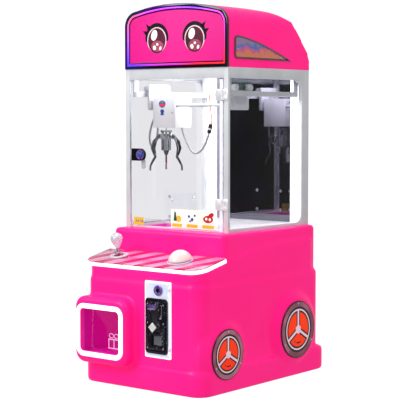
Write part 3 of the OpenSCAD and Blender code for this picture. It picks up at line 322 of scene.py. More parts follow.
def facing(y=0.0, x=0.0, z=0.0):
    """Stands a flat outline up so that its x runs to +X, its y to +Z and its depth to -Y."""
    return Matrix.Translation((x, y, z)) @ Matrix.Rotation(math.radians(90), 4, "X")


def side_on(x=0.0, y=0.0, z=0.0, side=1):
    """Stands a flat outline against the side wall: its x runs to +Y on the right side, its y to
    +Z and its depth outwards."""
    turn = Matrix(((0, 0, 1, 0), (1, 0, 0, 0), (0, 1, 0, 0), (0, 0, 0, 1)))
    flip = Matrix.Diagonal((side, 1, 1, 1))
    return flip @ Matrix.Translation((x, y, z)) @ turn


def piece(name, bm, materials, body, stands_for=(), sharp=35):
    """Turns a bmesh in millimetres into a finished piece that rides on a body."""
    bmesh.ops.scale(bm, vec=(MM,) * 3, verts=bm.verts)
    mesh = bpy.data.meshes.new(name)
    bm.to_mesh(mesh)
    bm.free()
    for mat in materials:
        mesh.materials.append(mat)
    mesh.polygons.foreach_set("use_smooth", [True] * len(mesh.polygons))
    mesh.set_sharp_from_angle(angle=math.radians(sharp))
    made = bpy.data.objects.new(name, mesh)
    bpy.context.scene.collection.objects.link(made)
    if stands_for:
        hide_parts(*stands_for)
    if materials[0] in (clear_sheet, clear_guard, pink_sheet):
        made.visible_shadow = False
    if body:
        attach(made, body)
    return made


def bake_modifiers(made):
    """Applies a piece's modifiers to its mesh."""
    view = bpy.context.evaluated_depsgraph_get()
    mesh = bpy.data.meshes.new_from_object(made.evaluated_get(view))
    made.modifiers.clear()
    old, made.data = made.data, mesh
    bpy.data.meshes.remove(old)
    return made


def cut_with(made, cutters):
    """Cuts closed shapes, in millimetres, out of a piece."""
    tool_mesh = bpy.data.meshes.new("cutter")
    whole = bmesh.new()
    for cutter in cutters:
        combine(whole, cutter)
    bmesh.ops.scale(whole, vec=(MM,) * 3, verts=whole.verts)
    whole.to_mesh(tool_mesh)
    whole.free()
    tool = bpy.data.objects.new("cutter", tool_mesh)
    bpy.context.scene.collection.objects.link(tool)
    cut = made.modifiers.new("cut", "BOOLEAN")
    cut.operation, cut.solver, cut.object = "DIFFERENCE", "EXACT", tool
    cut.use_self = True
    bake_modifiers(made)
    bpy.data.objects.remove(tool)
    bpy.data.meshes.remove(tool_mesh)


def soften(made, voxel, passes, factor=0.6):
    """Melts a piece's overlapping parts into one smooth moulding."""
    melt = made.modifiers.new("melt", "REMESH")
    melt.mode, melt.voxel_size = "VOXEL", voxel * MM
    flow = made.modifiers.new("flow", "SMOOTH")
    flow.factor, flow.iterations = factor, passes
    bake_modifiers(made)
    made.data.polygons.foreach_set("use_smooth", [True] * len(made.data.polygons))


body_of_node = {n: b for b, names in frame["record"]["behaviour"]["bodies"].items() for n in names}


def refine(node, mat, soft=0.5, extra=(), sharp=35, edge_of=None):
    """A CAD node's shape with its edges broken by soft mm, as a piece that replaces it. For a
    sheet, edge_of is the axis across it, and its edges get the next material."""
    bm = bmesh.new()
    bm.from_mesh(nodes[node].data)
    bmesh.ops.scale(bm, vec=(1000,) * 3, verts=bm.verts)
    bmesh.ops.remove_doubles(bm, verts=bm.verts, dist=0.005)
    bmesh.ops.dissolve_limit(bm, angle_limit=math.radians(2), verts=bm.verts, edges=bm.edges)
    if soft:
        edges = [e for e in bm.edges if e.is_manifold and e.calc_face_angle(0) > math.radians(38)]
        bmesh.ops.bevel(bm, geom=edges, offset=soft, affect="EDGES", segments=2, profile=0.5,
                        material=-1, clamp_overlap=True)
    for face in bm.faces:
        face.material_index = int(edge_of is not None and abs(face.normal[edge_of]) < 0.9)
    return piece(node + "_finished", bm, [mat, *extra], body_of_node[node],
                 (node,), sharp)


# ---------------------------------------------------------------- camera, lights and stage

AZIMUTH, ELEVATION, DISTANCE = math.radians(38.73), math.radians(3.64), 3.8
back = Vector((math.sin(AZIMUTH) * math.cos(ELEVATION),
               -math.cos(AZIMUTH) * math.cos(ELEVATION), math.sin(ELEVATION)))
camera_data = bpy.data.cameras.new("camera")
camera_data.lens, camera_data.sensor_width = 120.9, 36
camera_data.clip_end = 100
camera = bpy.data.objects.new("camera", camera_data)
camera.location = (2.3331, -2.9241, 0.7349)
camera.rotation_euler = (-back).to_track_quat("-Z", "Y").to_euler()
bpy.context.scene.collection.objects.link(camera)
bpy.context.scene.camera = camera
bpy.context.scene.view_settings.view_transform = "Standard"

world = bpy.data.worlds.new("studio")
world.use_nodes = True
world.node_tree.nodes["Background"].inputs["Color"].default_value = (1, 1, 1, 1)
world.node_tree.nodes["Background"].inputs["Strength"].default_value = 0.42
bpy.context.scene.world = world


def softbox(name, place, aim, width, height, power, seen=True):
    """An area light at place that faces aim."""
    data = bpy.data.lights.new(name, "AREA")
    data.shape, data.size, data.size_y, data.energy = "RECTANGLE", width, height, power
    lamp = bpy.data.objects.new(name, data)
    lamp.location = place
    lamp.rotation_euler = (Vector(aim) - Vector(place)).to_track_quat("-Z", "Y").to_euler()
    lamp.visible_camera = False
    lamp.visible_glossy = seen
    bpy.context.scene.collection.objects.link(lamp)
    return lamp


softbox("front_softbox", (-1.3, -2.9, 2.1), (0, -0.2, 0.5), 2.2, 2.0, 72)
softbox("top_softbox", (0.5, -0.4, 3.2), (0, 0, 0.8), 1.6, 1.6, 16)
softbox("right_softbox", (2.4, -0.5, 2.7), (0.2, 0, 0.3), 0.9, 0.9, 14)
softbox("cabinet_lamp", (0, 0.05, 0.846), (0, 0.05, 0.4), 0.24, 0.24, 2.2, seen=False)


def set_piece(name, bm, mat, hidden_from):
    """A studio surface, which some kinds of ray don't meet."""
    mesh = bpy.data.meshes.new(name)
    bm.to_mesh(mesh)
    bm.free()
    mesh.materials.append(mat)
    made = bpy.data.objects.new(name, mesh)
    bpy.context.scene.collection.objects.link(made)
    for ray in hidden_from:
        setattr(made, "visible_" + ray, False)


def glow(name, low, high, scale, strength=1.0):
    """Paper that shines by itself in two clouded tones."""
    mat, out = blank(name)
    place = add(mat, "ShaderNodeTexCoord").outputs["Object"]
    drift = add(mat, "ShaderNodeTexNoise", {"Vector": place}, Scale=scale, Detail=3.0)
    tone = ramp(mat, drift.outputs["Fac"], [(0.42, low), (0.66, high)])
    light = add(mat, "ShaderNodeEmission", {"Color": tone.outputs["Color"]}, Strength=strength)
    mat.node_tree.links.new(out.inputs["Surface"], light.outputs[0])
    return mat


# White paper all round, which only the camera sees, so that the light comes from the lamps.
paper = bmesh.new()
bmesh.ops.create_uvsphere(paper, u_segments=32, v_segments=16, radius=12)
set_piece("white_paper", paper, glow("white_paper", "#FFFFFF", "#FFFFFF", 1.0, 1.05),
          ("diffuse", "glossy", "transmission", "shadow", "volume_scatter"))

# A dark screen beyond the left front corner, which only reflections see: it darkens the mirror.
screen = bmesh.new()
bmesh.ops.create_grid(screen, x_segments=1, y_segments=1, size=0.75,
                      matrix=Matrix.Translation((-0.98, -0.94, 0.62))
                      @ Matrix.Rotation(math.radians(-38.7), 4, "Z")
                      @ Matrix.Rotation(math.radians(90), 4, "X"))
set_piece("dark_screen", screen, glow("dark_studio", "#020203", "#1A1E30", 9.0),
          ("camera", "diffuse", "transmission", "shadow", "volume_scatter"))


# ---------------------------------------------------------------- more materials

# Screen-printed vinyl inks under a clear gloss film.
ink_black = finish("black_vinyl_ink", ("#140A10", "#1E1018"), (0.2, 0.3), 1.5, 0.03)
# Its emission is a painted glow that brightens the pale ink.
ink_pale_painted_glow = finish("pale_pink_vinyl_ink_painted_glow", ("#F0C6D8", "#F8D8E6"), (0.2, 0.3), 1.5, 0.03,
                  Emission_Color=colour("#F8D0E0"), Emission_Strength=0.28)
# The orange ink's emission is a painted glow that brightens it.
ink_orange_painted_glow = finish("orange_vinyl_ink_painted_glow", ("#F43208", "#FC440E"), (0.2, 0.3), 1.5, 0.03,
                    Specular_IOR_Level=0.2, Emission_Color=colour("#FF3208"), Emission_Strength=0.45)
ink_maroon = finish("maroon_vinyl_ink", ("#4E1028", "#6A1838"), (0.2, 0.3), 1.5, 0.03)
ink_rose = finish("rose_vinyl_ink", ("#A83A62", "#C05078"), (0.2, 0.3), 1.5, 0.03)
# Its emission is a painted glow that brightens the white ink.
ink_white_painted_glow = finish("white_vinyl_ink_painted_glow", ("#FFFBEC", "#FFFFFA"), (0.25, 0.35), 1.5, 0.03,
                   Emission_Color=colour("#FFFFE8"), Emission_Strength=0.25)
ink_yellow = finish("yellow_vinyl_ink", ("#F2D024", "#FAE040"), (0.25, 0.35), 1.5, 0.03)
ink_blue = finish("blue_vinyl_ink", ("#2858A8", "#3A70C8"), (0.25, 0.35), 1.5, 0.03)
ink_red = finish("red_vinyl_ink", ("#C81828", "#E02838"), (0.25, 0.35), 1.5, 0.03)
ink_green = finish("green_vinyl_ink", ("#185838", "#2A7850"), (0.25, 0.35), 1.5, 0.03)
ink_grey = finish("grey_vinyl_ink", ("#8A8890", "#A09EA6"), (0.25, 0.35), 1.5, 0.03)
# Anodised mauve rim film on the wheel discs; its emission is a painted glow.
rim_mauve_painted_glow = finish("anodised_mauve_rim_painted_glow", ("#8A5462", "#E498AA"), (0.2, 0.32), 1.0, 0.05, metal=0.5,
                   cloud=80, Emission_Color=colour("#A05068"), Emission_Strength=0.12)
# Slate trim round the side windows.
slate_trim = finish("slate_plastic_trim", ("#5A4C5A", "#6C5C6A"), (0.35, 0.45), 1.0, 0.08)
# Purple-tinted chrome rings on the locks.
violet_chrome = finish("violet_chrome", ("#5038B0", "#C49CF4"), (0.1, 0.2), 6, 0.05, metal=0.5,
                       cloud=9)
# Teal nylon gear ring.
teal_nylon = finish("teal_nylon", ("#2A8A74", "#46A890"), (0.35, 0.45), 0.8, 0.08)
# Cut edges of acrylic sheet, paler and duller than its faces: partly their frosted cut, partly painted
# light that the edges gather.
acrylic_edge = finish("cut_acrylic_edge", ("#B4C0CC", "#DCE4EE"), (0.25, 0.4), 0.8, 0.1, cloud=30)
# Opal pinkish push-button dome; its emission is a painted glow for light that passes into the opal
# plastic.
dome_opal_painted_glow = finish("opal_dome_plastic_painted_glow", ("#FBE2DC", "#FFF0EC"), (0.16, 0.24), 1.5, 0.02, cloud=40,
                   Emission_Color=colour("#FFD8D8"), Emission_Strength=0.12)
# Cut crystal; its emission is a painted glow.
crystal = finish("cut_crystal_painted_glow", ("#C0ACD0", "#FFFFFF"), (0.03, 0.08), 3, 0.02, metal=0.3, cloud=4,
                 Specular_IOR_Level=0.9, Emission_Color=colour("#FFF4FC"), Emission_Strength=0.15)
# Satin chrome on the hinges, the cams and the return lever, with soft reflections; its emission is a
# painted glow that makes it brighter.
satin_chrome_painted_glow = finish("satin_chrome_painted_glow", ("#E8E8F0", "#FFFFFF"), (0.25, 0.36), 1.0, 0.04, metal=0.4,
                      Emission_Color=colour("#FFFFFF"), Emission_Strength=0.12)
# Grey die-cast gearbox: patchy, with a rough cast skin.
die_cast = finish("grey_die_casting", ("#55545A", "#7C7A7C"), (0.35, 0.5), 1.2, 0.2, metal=0.5,
                  cloud=14)
# Milky PVC edging; its emission is a painted glow for the cabinet's light that it gathers.
milky_edging_painted_glow = finish("milky_pvc_edging_painted_glow", ("#DCDAF0", "#FFFFFF"), (0.3, 0.4), 1.5, 0.05, cloud=12,
                      Emission_Color=colour("#F4F0FF"), Emission_Strength=0.3)
# Frosted dust washer.
frosted = finish("frosted_washer", ("#DCDCF0", "#F0ECF8"), (0.3, 0.4), 1.5, 0.05, cloud=20)
# Coin plate: white enamel; its emission is a painted glow for the light of its surround.
coin_white_painted_glow = finish("coin_plate_painted_glow", ("#DDE2F2", "#F0F2FC"), (0.3, 0.4), 1.2, 0.08, cloud=60,
                    Emission_Color=colour("#C8D4FF"), Emission_Strength=0.22)


def with_painted_glints(name, ground, glint_tone, scale, share):
    """Dark glossy plastic with sparse bright flecks in patches, which are painted glints."""
    mat, out = blank(name)
    place = add(mat, "ShaderNodeTexCoord").outputs["Object"]
    cells = add(mat, "ShaderNodeTexVoronoi", {"Vector": place}, Scale=scale)
    drift = add(mat, "ShaderNodeTexNoise", {"Vector": place}, Scale=70.0, Detail=4.0)
    tone = ramp(mat, cells.outputs["Color"], [(share, ground), (share + 0.04, glint_tone)])
    patch = ramp(mat, drift.outputs["Fac"], [(0.5, "#000000"), (0.62, "#FFFFFF")])
    mix = add(mat, "ShaderNodeMix", {6: patch.outputs["Color"], 7: tone.outputs["Color"]},
              {"data_type": "RGBA", "blend_type": "MULTIPLY"})
    mix.inputs[0].default_value = 1.0
    total = add(mat, "ShaderNodeMix", {7: mix.outputs[2]}, {"data_type": "RGBA", "blend_type": "ADD"})
    total.inputs[0].default_value = 1.0
    total.inputs[6].default_value = colour(ground)
    shader = add(mat, "ShaderNodeBsdfPrincipled", {"Base Color": total.outputs[2]}, Roughness=0.22)
    mat.node_tree.links.new(out.inputs["Surface"], shader.outputs["BSDF"])
    return mat


black_with_painted_glints = with_painted_glints("black_plastic_painted_glints", "#15121C", "#9890C0", 420.0, 0.8)


def striped(name):
    """Diagonal crimson and pale stripes printed under the deck's clear film."""
    mat, out = blank(name)
    place = add(mat, "ShaderNodeTexCoord").outputs["Object"]
    turned_to = add(mat, "ShaderNodeMapping", {"Vector": place})
    turned_to.inputs["Rotation"].default_value = (0, 0, math.radians(38))
    bands = add(mat, "ShaderNodeTexWave", {"Vector": turned_to.outputs["Vector"]},
                {"bands_direction": "X"}, Scale=5.6)
    stripes = ramp(mat, bands.outputs["Fac"], [(0.0, "#E0206E"), (0.46, "#F7BCE2")], smooth=False)
    drift = add(mat, "ShaderNodeTexNoise", {"Vector": place}, Scale=22.0, Detail=2.0)
    wash = ramp(mat, drift.outputs["Fac"], [(0.4, "#FF5CB4"), (0.66, "#FFFFFF")])
    tone = add(mat, "ShaderNodeMix", {6: stripes.outputs["Color"], 7: wash.outputs["Color"]},
               {"data_type": "RGBA", "blend_type": "MULTIPLY"})
    tone.inputs[0].default_value = 0.35
    shader = add(mat, "ShaderNodeBsdfPrincipled", {"Base Color": tone.outputs[2]}, Roughness=0.14,
                 Coat_Weight=0.6, Coat_Roughness=0.04)
    mat.node_tree.links.new(out.inputs["Surface"], shader.outputs["BSDF"])
    return mat


deck_print = striped("striped_deck_film")


def across(mat, axis, low, high):
    """Object position along an axis, from 0 at low to 1 at high, in metres."""
    place = add(mat, "ShaderNodeTexCoord").outputs["Object"]
    split = add(mat, "ShaderNodeSeparateXYZ", {0: place})
    return add(mat, "ShaderNodeMapRange", {"Value": split.outputs[axis]},
               From_Min=low, From_Max=high).outputs["Result"]


def running_light(name, strength, dim=1.0):
    """The colours that run round the sign: violet to red below, magenta to blue above."""
    mat, out = blank(name)
    side, height = across(mat, 0, -0.17, 0.17), across(mat, 2, 0.875, 1.02)
    low = ramp(mat, side, [(0.0, "#5A1CFF"), (0.45, "#D010C0"), (0.75, "#FF1038"), (1.0, "#FF1818")])
    high = ramp(mat, side, [(0.0, "#FF5A48"), (0.3, "#C828F0"), (0.7, "#8038FF"), (1.0, "#E028D8")])
    both = add(mat, "ShaderNodeMix", {0: height, 6: low.outputs["Color"], 7: high.outputs["Color"]},
               {"data_type": "RGBA"})
    shader = add(mat, "ShaderNodeBsdfPrincipled",
                 {"Emission Color": both.outputs[2], "Base Color": both.outputs[2]},
                 Roughness=0.3, Emission_Strength=strength)
    mat.node_tree.links.new(out.inputs["Surface"], shader.outputs["BSDF"])
    return mat


sign_light = running_light("running_sign_light", 1.5)


def sign_trim_painted_light():
    """Black acrylic round the sign, with painted light from the running light: navy, violet and teal in
    its colour.
    """
    mat, out = blank("sign_black_acrylic_painted_light")
    side, height = across(mat, 0, -0.18, 0.18), across(mat, 2, 0.86, 1.034)
    low = ramp(mat, side, [(0.0, "#2A1A78"), (0.35, "#12081C"), (0.7, "#30040C"), (1.0, "#081418")])
    high = ramp(mat, side, [(0.0, "#0C3038"), (0.3, "#3A1070"), (0.6, "#1A1050"), (1.0, "#04242C")])
    both = add(mat, "ShaderNodeMix", {0: height, 6: low.outputs["Color"], 7: high.outputs["Color"]},
               {"data_type": "RGBA"})
    shader = add(mat, "ShaderNodeBsdfPrincipled", {"Base Color": both.outputs[2]}, Roughness=0.12,
                 Coat_Weight=0.5, Coat_Roughness=0.03)
    mat.node_tree.links.new(out.inputs["Surface"], shader.outputs["BSDF"])
    return mat


def backlit_sign():
    """Pink sign film lit from behind, brighter towards its middle; the brighter middle is painted light
    in its colour.
    """
    mat, out = blank("backlit_sign_film")
    side = across(mat, 0, -0.17, 0.17)
    tone = ramp(mat, side, [(0.0, "#F01090"), (0.5, "#FC2098"), (1.0, "#F01090")])
    shader = add(mat, "ShaderNodeBsdfPrincipled",
                 {"Base Color": tone.outputs["Color"], "Emission Color": tone.outputs["Color"]},
                 Roughness=0.25, Emission_Strength=0.12, Specular_IOR_Level=0.2)
    mat.node_tree.links.new(out.inputs["Surface"], shader.outputs["BSDF"])
    return mat


def sunset_print():
    """The side windows' print: a blue sky that breaks into pink and orange."""
    mat, out = blank("sunset_window_print")
    place = add(mat, "ShaderNodeTexCoord").outputs["Object"]
    drift = add(mat, "ShaderNodeTexNoise", {"Vector": place}, Scale=38.0, Detail=5.0)
    height = across(mat, 2, 0.884, 0.942)
    moved = add(mat, "ShaderNodeMath", {0: drift.outputs["Fac"], 2: height},
                {"operation": "MULTIPLY_ADD"})
    moved.inputs[1].default_value = 0.9
    level = add(mat, "ShaderNodeMapRange", {"Value": moved.outputs[0]}, From_Min=0.3, From_Max=1.4)
    tone = ramp(mat, level.outputs["Result"], [(0.1, "#F08C3C"), (0.36, "#F4886C"), (0.5, "#E8609A"),
                                               (0.62, "#4C7CD0"), (0.8, "#A884B0")])
    shader = add(mat, "ShaderNodeBsdfPrincipled", {"Base Color": tone.outputs["Color"]},
                 Roughness=0.2, Coat_Weight=0.4)
    mat.node_tree.links.new(out.inputs["Surface"], shader.outputs["BSDF"])
    return mat


# ---------------------------------------------------------------- base moulding

# Each wheel's place along the side and up it, its radius, and how far out its disc lies.
WHEELS = ((-166, 109, 67, 213), (146, 137, 80, 219))
DECK_TILT = math.radians(12)
deck_place = Matrix.Translation((0, -158, 362)) @ Matrix.Rotation(DECK_TILT, 4, "X")
SIDEWAYS = Matrix(((0, 0, 1, 0), (1, 0, 0, 0), (0, 1, 0, 0), (0, 0, 0, 1)))


def fender(y, z, radius, face, side):
    """A fender: a drum that swells out of the side round a wheel disc."""
    reach = face - 175
    return turned([(0, 0), (radius + 32, 0), (radius + 32, reach - 17), (radius + 26, reach - 13),
                   (radius + 15, reach - 5), (radius + 7, reach - 1), (radius + 1, reach), (0, reach)],
                  (side * 175, y, z), Matrix.Rotation(math.radians(90 * side), 4, "Y"))


def waist():
    """The middle of the base: its back half is high, and it slopes down to the front deck."""
    profile = [(-266, 20), (-266, 325), (-158, 348.5), (-157, 349), (-72, 361), (12, 379),
               (82, 383), (273, 383), (273, 20)]
    bm = outline(profile, 402, Matrix.Translation((-201, 0, 0)) @ SIDEWAYS)
    upright = [e for e in bm.edges if abs((e.verts[0].co - e.verts[1].co).normalized().z) > 0.99]
    bmesh.ops.bevel(bm, geom=upright, offset=42, affect="EDGES", segments=8, profile=0.5, material=-1)
    return bm


shell = bmesh.new()
combine(shell, rounded((-213, -272, 5), (213, 309.5, 72), 44, 2, 8),
        rounded((-203.5, -269, 5), (203.5, 290, 294), 42, 2, 7), waist(),
        rounded((-196, -158, 280), (196, 270, 421), 16, 2, 9),
        rounded((-206, -306, 64), (-18, -240, 245), 30, 1, 11))
for side in (-1, 1):
    combine(shell, *(fender(*wheel, side) for wheel in WHEELS))
base = piece("base_moulding", shell, [pink_shell_painted_glow], "cabinet", ("base_shell",))
soften(base, 4.5, 3)
cut_with(base, [
    # the hollow inside: body, waist and collar
    rounded((-200, -263, -20), (200, 284, 286), 30, 2),
    rounded((-197, -260, 270), (197, 265, 316), 30, 2),
    rounded((-191, -152, 300), (191, 264, 412), 10, 2),
    # under the playfield, and the mouth of the chute
    rounded((-150, -91, 400), (150, 224, 440), 10, 2),
    rounded((-164.5, -119, 400), (-36.5, 26.5, 440)),
    # the prize bin and its opening
    rounded((-195, -301, 74), (-29, -240, 235), 24, 1),
    rounded((-183, -330, 96), (-41, -250, 213), 12, 1),
    # the coin door and the rear panel
    rounded((19, -280, 97), (107, -240, 300), 3, 1),
    rounded((-100, 270, 104), (100, 330, 268), 8, 1)])


# ---------------------------------------------------------------- roof moulding

ARCH_R, ARCH_CORNER, ROOF_HALF, ROOF_LOW, ROOF_TOP = 640, 42, 180, 860, 1034


def arch_points(inset, steps=12):
    """The front outline of the roof, smaller all round by inset."""
    dx = ROOF_HALF - ARCH_CORNER
    dz = math.sqrt((ARCH_R - ARCH_CORNER) ** 2 - dx * dx)
    low = ROOF_TOP - ARCH_R
    lean = math.atan2(dx, dz)
    right = [(ROOF_HALF - inset, ROOF_LOW + inset)]
    right += [(dx + (ARCH_CORNER - inset) * math.cos(a), low + dz + (ARCH_CORNER - inset) * math.sin(a))
              for a in (i * (math.pi / 2 - lean) / steps for i in range(steps + 1))]
    right += [((ARCH_R - inset) * math.sin(a), low + (ARCH_R - inset) * math.cos(a))
              for a in (lean * (1 - i / steps) for i in range(1, steps + 1))]
    return right + [(-x, z) for x, z in reversed(right[:-1])]


roof = piece("roof_moulding", outline(arch_points(0), 373, facing(256)), [pink_shell_painted_glow], "cabinet",
             ("roof_shell",))
cut_with(roof, [outline([(-130, 1050), (-6, 1034.5), (64, 1024.5), (125, 1009), (172, 993),
                         (190, 973), (248, 909), (257, 888), (257, 850), (300, 850), (300, 1060),
                         (-130, 1060)], 400, Matrix.Translation((-200, 0, 0)) @ SIDEWAYS)])
soften(roof, 4, 3)
cut_with(roof, [rounded((-174, -116, 840), (174, 250, 866))])

# Sign: film, running light and black trim, with a pair of plain cartoon eyes.
refine("marquee_panel", backlit_sign(), 0)
refine("marquee_light", sign_light, 0.3)
refine("marquee_trim", sign_trim_painted_light(), 1.0)
eyes = bmesh.new()
front = facing(-121)
for side in (-1, 1):
    cx = 66 * side
    lid = [(cx + 41 * math.cos(a), 944 + 40 * math.sin(a))
           for a in (math.radians(-12 + 204 * i / 32) for i in range(33))]
    lid += [(cx + 34 * math.cos(a), 939 + 34 * math.sin(a))
            for a in (math.radians(192 - 204 * i / 32) for i in range(33))]
    combine(eyes, outline(lid, 0.5, front), material=0)
    for angle, reach in ((18, 13), (42, 14)):
        lash = [(cx + side * r * 41 * math.cos(math.radians(angle + w)),
                 944 + r * 40 * math.sin(math.radians(angle + w)))
                for r, w in ((0.94, -9), (1 + reach / 41, 4), (0.94, 11))]
        combine(eyes, outline(lash, 0.5, front), material=0)
    combine(eyes, oval((cx, 939), 35, 36, front, 0.35), material=1)
    combine(eyes, oval((cx, 936), 31, 34, front, 0.6), material=2)
    combine(eyes, oval((cx + 2, 921), 22, 15, front, 0.75), material=3)
    combine(eyes, oval((cx - 9, 951), 10.5, 15, front, 0.9, -18),
            oval((cx + 2, 926), 4, 3.6, front, 0.95),
            oval((cx - 8, 917), 5.5, 6.5, front, 0.9, 20), oval((cx + 13, 915), 4, 5.5, front, 0.9, -20),
            material=4)
piece("sign_eyes", eyes, [ink_black, ink_pale_painted_glow, ink_maroon, ink_rose, ink_white_painted_glow], "cabinet")

# Side windows of the roof.
fins = bmesh.new()
FIN = [(-86, 882), (-93, 885), (-96, 892), (-96, 934), (-92, 941), (-84, 944)]
FIN += [(-84 + 250 * t, 882 + 62 * (1 - t ** 1.45)) for t in (i / 14 for i in range(1, 15))]
for side in (-1, 1):
    combine(fins, outline(FIN, 3, side_on(180, 0, 0, side), soft=0.8, border=4.6), material=None)
piece("fin_windows_finished", fins, [slate_trim, sunset_print()], "cabinet",
      ("fin_windows",))


# ---------------------------------------------------------------- wheel discs

def sector(radius, low, high, spoke, grow=0.0):
    """The area between two spokes at the angles low and high, whose half width is spoke."""
    inner, points = radius * 0.26 - grow, []
    for r, turn in ((radius + grow, 1), (inner, -1)):
        gap = math.asin((spoke - grow) / r)
        span = [low + gap + (high - low - 2 * gap) * i / 16 for i in range(17)]
        points += [(r * math.cos(a), r * math.sin(a)) for a in (span if turn > 0 else span[::-1])]
    return points


discs = bmesh.new()
for y, z, radius, face in WHEELS:
    for side in (-1, 1):
        on = side_on(face, y, z, side)
        combine(discs, turned([(0, 0), (radius, 0), (radius, 2.2), (radius - 0.8, 2.95), (0, 2.95)],
                              (0, 0, 0), on, 72), material=0)
        combine(discs, ring(radius * 0.80, radius * 0.965, 2.9, 3.15, on), material=1)
        combine(discs, ring(radius * 0.665, radius * 0.72, 2.9, 3.2, on), material=2)
        for low in (90, 210, 330):
            a = math.radians(low)
            combine(discs, outline(sector(radius * 0.6, a, a + math.tau / 3, radius * 0.105), 3.15, on),
                    material=3)
            along = Matrix.Rotation(a, 4, "Z")
            combine(discs, outline([(0, -radius * 0.045), (radius * 0.68, -radius * 0.045),
                                    (radius * 0.68, radius * 0.045), (0, radius * 0.045)], 3.35,
                                   on @ along), material=2)
        combine(discs, turned([(0, 0), (radius * 0.15, 0), (radius * 0.15, 3.5), (radius * 0.11, 4.0),
                               (0, 4.2)], (0, 0, 0), on, 32), material=2)
        # highlight strokes in the lowest field
        gloss = [(radius * 0.44 * math.cos(a), radius * 0.44 * math.sin(a))
                 for a in (math.radians(258 + 30 * i / 8) for i in range(9))]
        gloss += [(radius * 0.49 * math.cos(a), radius * 0.49 * math.sin(a))
                  for a in (math.radians(288 - 30 * i / 8) for i in range(9))]
        combine(discs, outline(gloss, 3.3, on), oval((-radius * 0.2, -radius * 0.4), radius * 0.03,
                                                    radius * 0.03, on, 3.3), material=0)
bmesh.ops.recalc_face_normals(discs, faces=discs.faces)
piece("wheel_discs_finished", discs, [ink_black, rim_mauve_painted_glow, ink_pale_painted_glow, ink_orange_painted_glow], "cabinet",
      ("wheel_discs",))


# ---------------------------------------------------------------- control deck

refine("deck_panel", deck_print, 0.6)
refine("joystick_base", frosted, 0.8)
refine("button_housing", frosted, 1.0)
refine("button_cap", dome_opal_painted_glow, 0.8)
refine("joystick_shaft", chrome, 0.4)
refine("joystick_gimbal", zinc, 0.4)

knob = bmesh.new()
bmesh.ops.create_icosphere(knob, subdivisions=3, radius=17)
for vert in knob.verts:
    if vert.co.z < 0:
        low = -vert.co.z / 17
        vert.co.x *= 1 - 0.42 * low
        vert.co.y *= 1 - 0.42 * low
        vert.co.z *= 1.6
bmesh.ops.transform(knob, verts=knob.verts, matrix=deck_place @ Matrix.Translation((-123, -58, 48.5)))
ball = piece("crystal_knob", knob, [crystal], "joystick", ("joystick_knob",), sharp=2)
ball.data.polygons.foreach_set("use_smooth", [False] * len(ball.data.polygons))


# ---------------------------------------------------------------- coin door

refine("coin_door_frame", surround_lit, 0.6)
refine("coin_door", coin_white_painted_glow, 0.5)
refine("coin_acceptor", black_with_painted_glints, 0.6)
refine("coin_return_flap", dark_chrome, 0.3)
refine("coin_door_lock", violet_chrome, 0.8)
refine("coin_door_cam", black_enamel, 0.4)

# Faceted diamond of chrome on the reject lever.
diamond = outline([(46, 179.5), (58, 167.5), (70, 179.5), (58, 191.5)], 0.1, facing(-283.5))
peak = bmesh.ops.poke(diamond, faces=[min(diamond.faces, key=lambda f: f.calc_center_median().y)])
peak["verts"][0].co = Vector((58, -287.6, 179.5))
piece("reject_diamond", diamond, [satin_chrome_painted_glow], "reject_lever", sharp=10)
refine("coin_reject_lever", satin_chrome_painted_glow, 0.4)

slot_trim = bmesh.new()
combine(slot_trim, rounded((76, -280.4, 202), (84, -278.9, 239), 3.5, 1, 0.5),
        rounded((34, -280, 225), (62, -278.9, 239), 2, 1, 0.4), material=0)
combine(slot_trim, rounded((79, -280.7, 206), (81, -279.5, 235), 0.8, 1), material=1)
combine(slot_trim, rounded((36, -280.3, 227), (60, -279.6, 237), 1.5, 1, 0.2), material=2)
for x, z in ((34, 124), (88, 124), (34, 239), (88, 239), (88, 190), (34, 190)):
    combine(slot_trim, turned([(0, 1.4), (1.6, 1.1), (2.4, 0), (0, 0)], (0, 0, 0),
                              facing(-279, x, z), 16), material=0)
piece("slot_trim", slot_trim, [chrome, ink_black, violet_chrome], "coin_door")


# ---------------------------------------------------------------- prize outlet

refine("prize_chute", bin_pink_painted_glow, 0.6)
refine("prize_light_ring", opal_lit, 1.2)
refine("prize_flap", pink_sheet, 0.5)
gift = bmesh.new()
for low, high in (((-96, 108), (-56, 111)), ((-96, 132), (-56, 135)), ((-96, 108), (-93, 135)),
                  ((-59, 108), (-56, 135)), ((-77.5, 108), (-74.5, 135))):
    combine(gift, rounded((low[0], -288.4, low[1]), (high[0], -287.6, high[1]), 1.2, 1))
for side in (-1, 1):
    loop = [(-76 + side * (9 + 8 * math.cos(a)), -288, 143 + 6 * math.sin(a))
            for a in (i * math.tau / 24 for i in range(24))]
    combine(gift, tube(loop, 1.2, 2, True))
piece("gift_mark", gift, [ink_white_painted_glow], "prize_flap")


# ---------------------------------------------------------------- cabinet

refine("door_glass", clear_sheet, 0.4, (acrylic_edge,), edge_of=1)
refine("side_windows", clear_sheet, 0.4, (acrylic_edge,), edge_of=0)
refine("chute_guard", clear_guard, 0.4)

bolts = bmesh.new()
for y in (-92, 4):
    for z in (442, 500):
        combine(bolts, turned([(0, 4), (3, 3.4), (5, 0), (0, 0)], (-37, y, z),
                              Matrix.Rotation(math.radians(90), 4, "Y"), 24))
for x in (-145, -56):
    for z in (442, 500):
        combine(bolts, turned([(0, 4), (3, 3.4), (5, 0), (0, 0)], (x, 26, z),
                              Matrix.Rotation(math.radians(-90), 4, "X"), 24))
piece("guard_bolts", bolts, [satin_chrome_painted_glow], "cabinet")

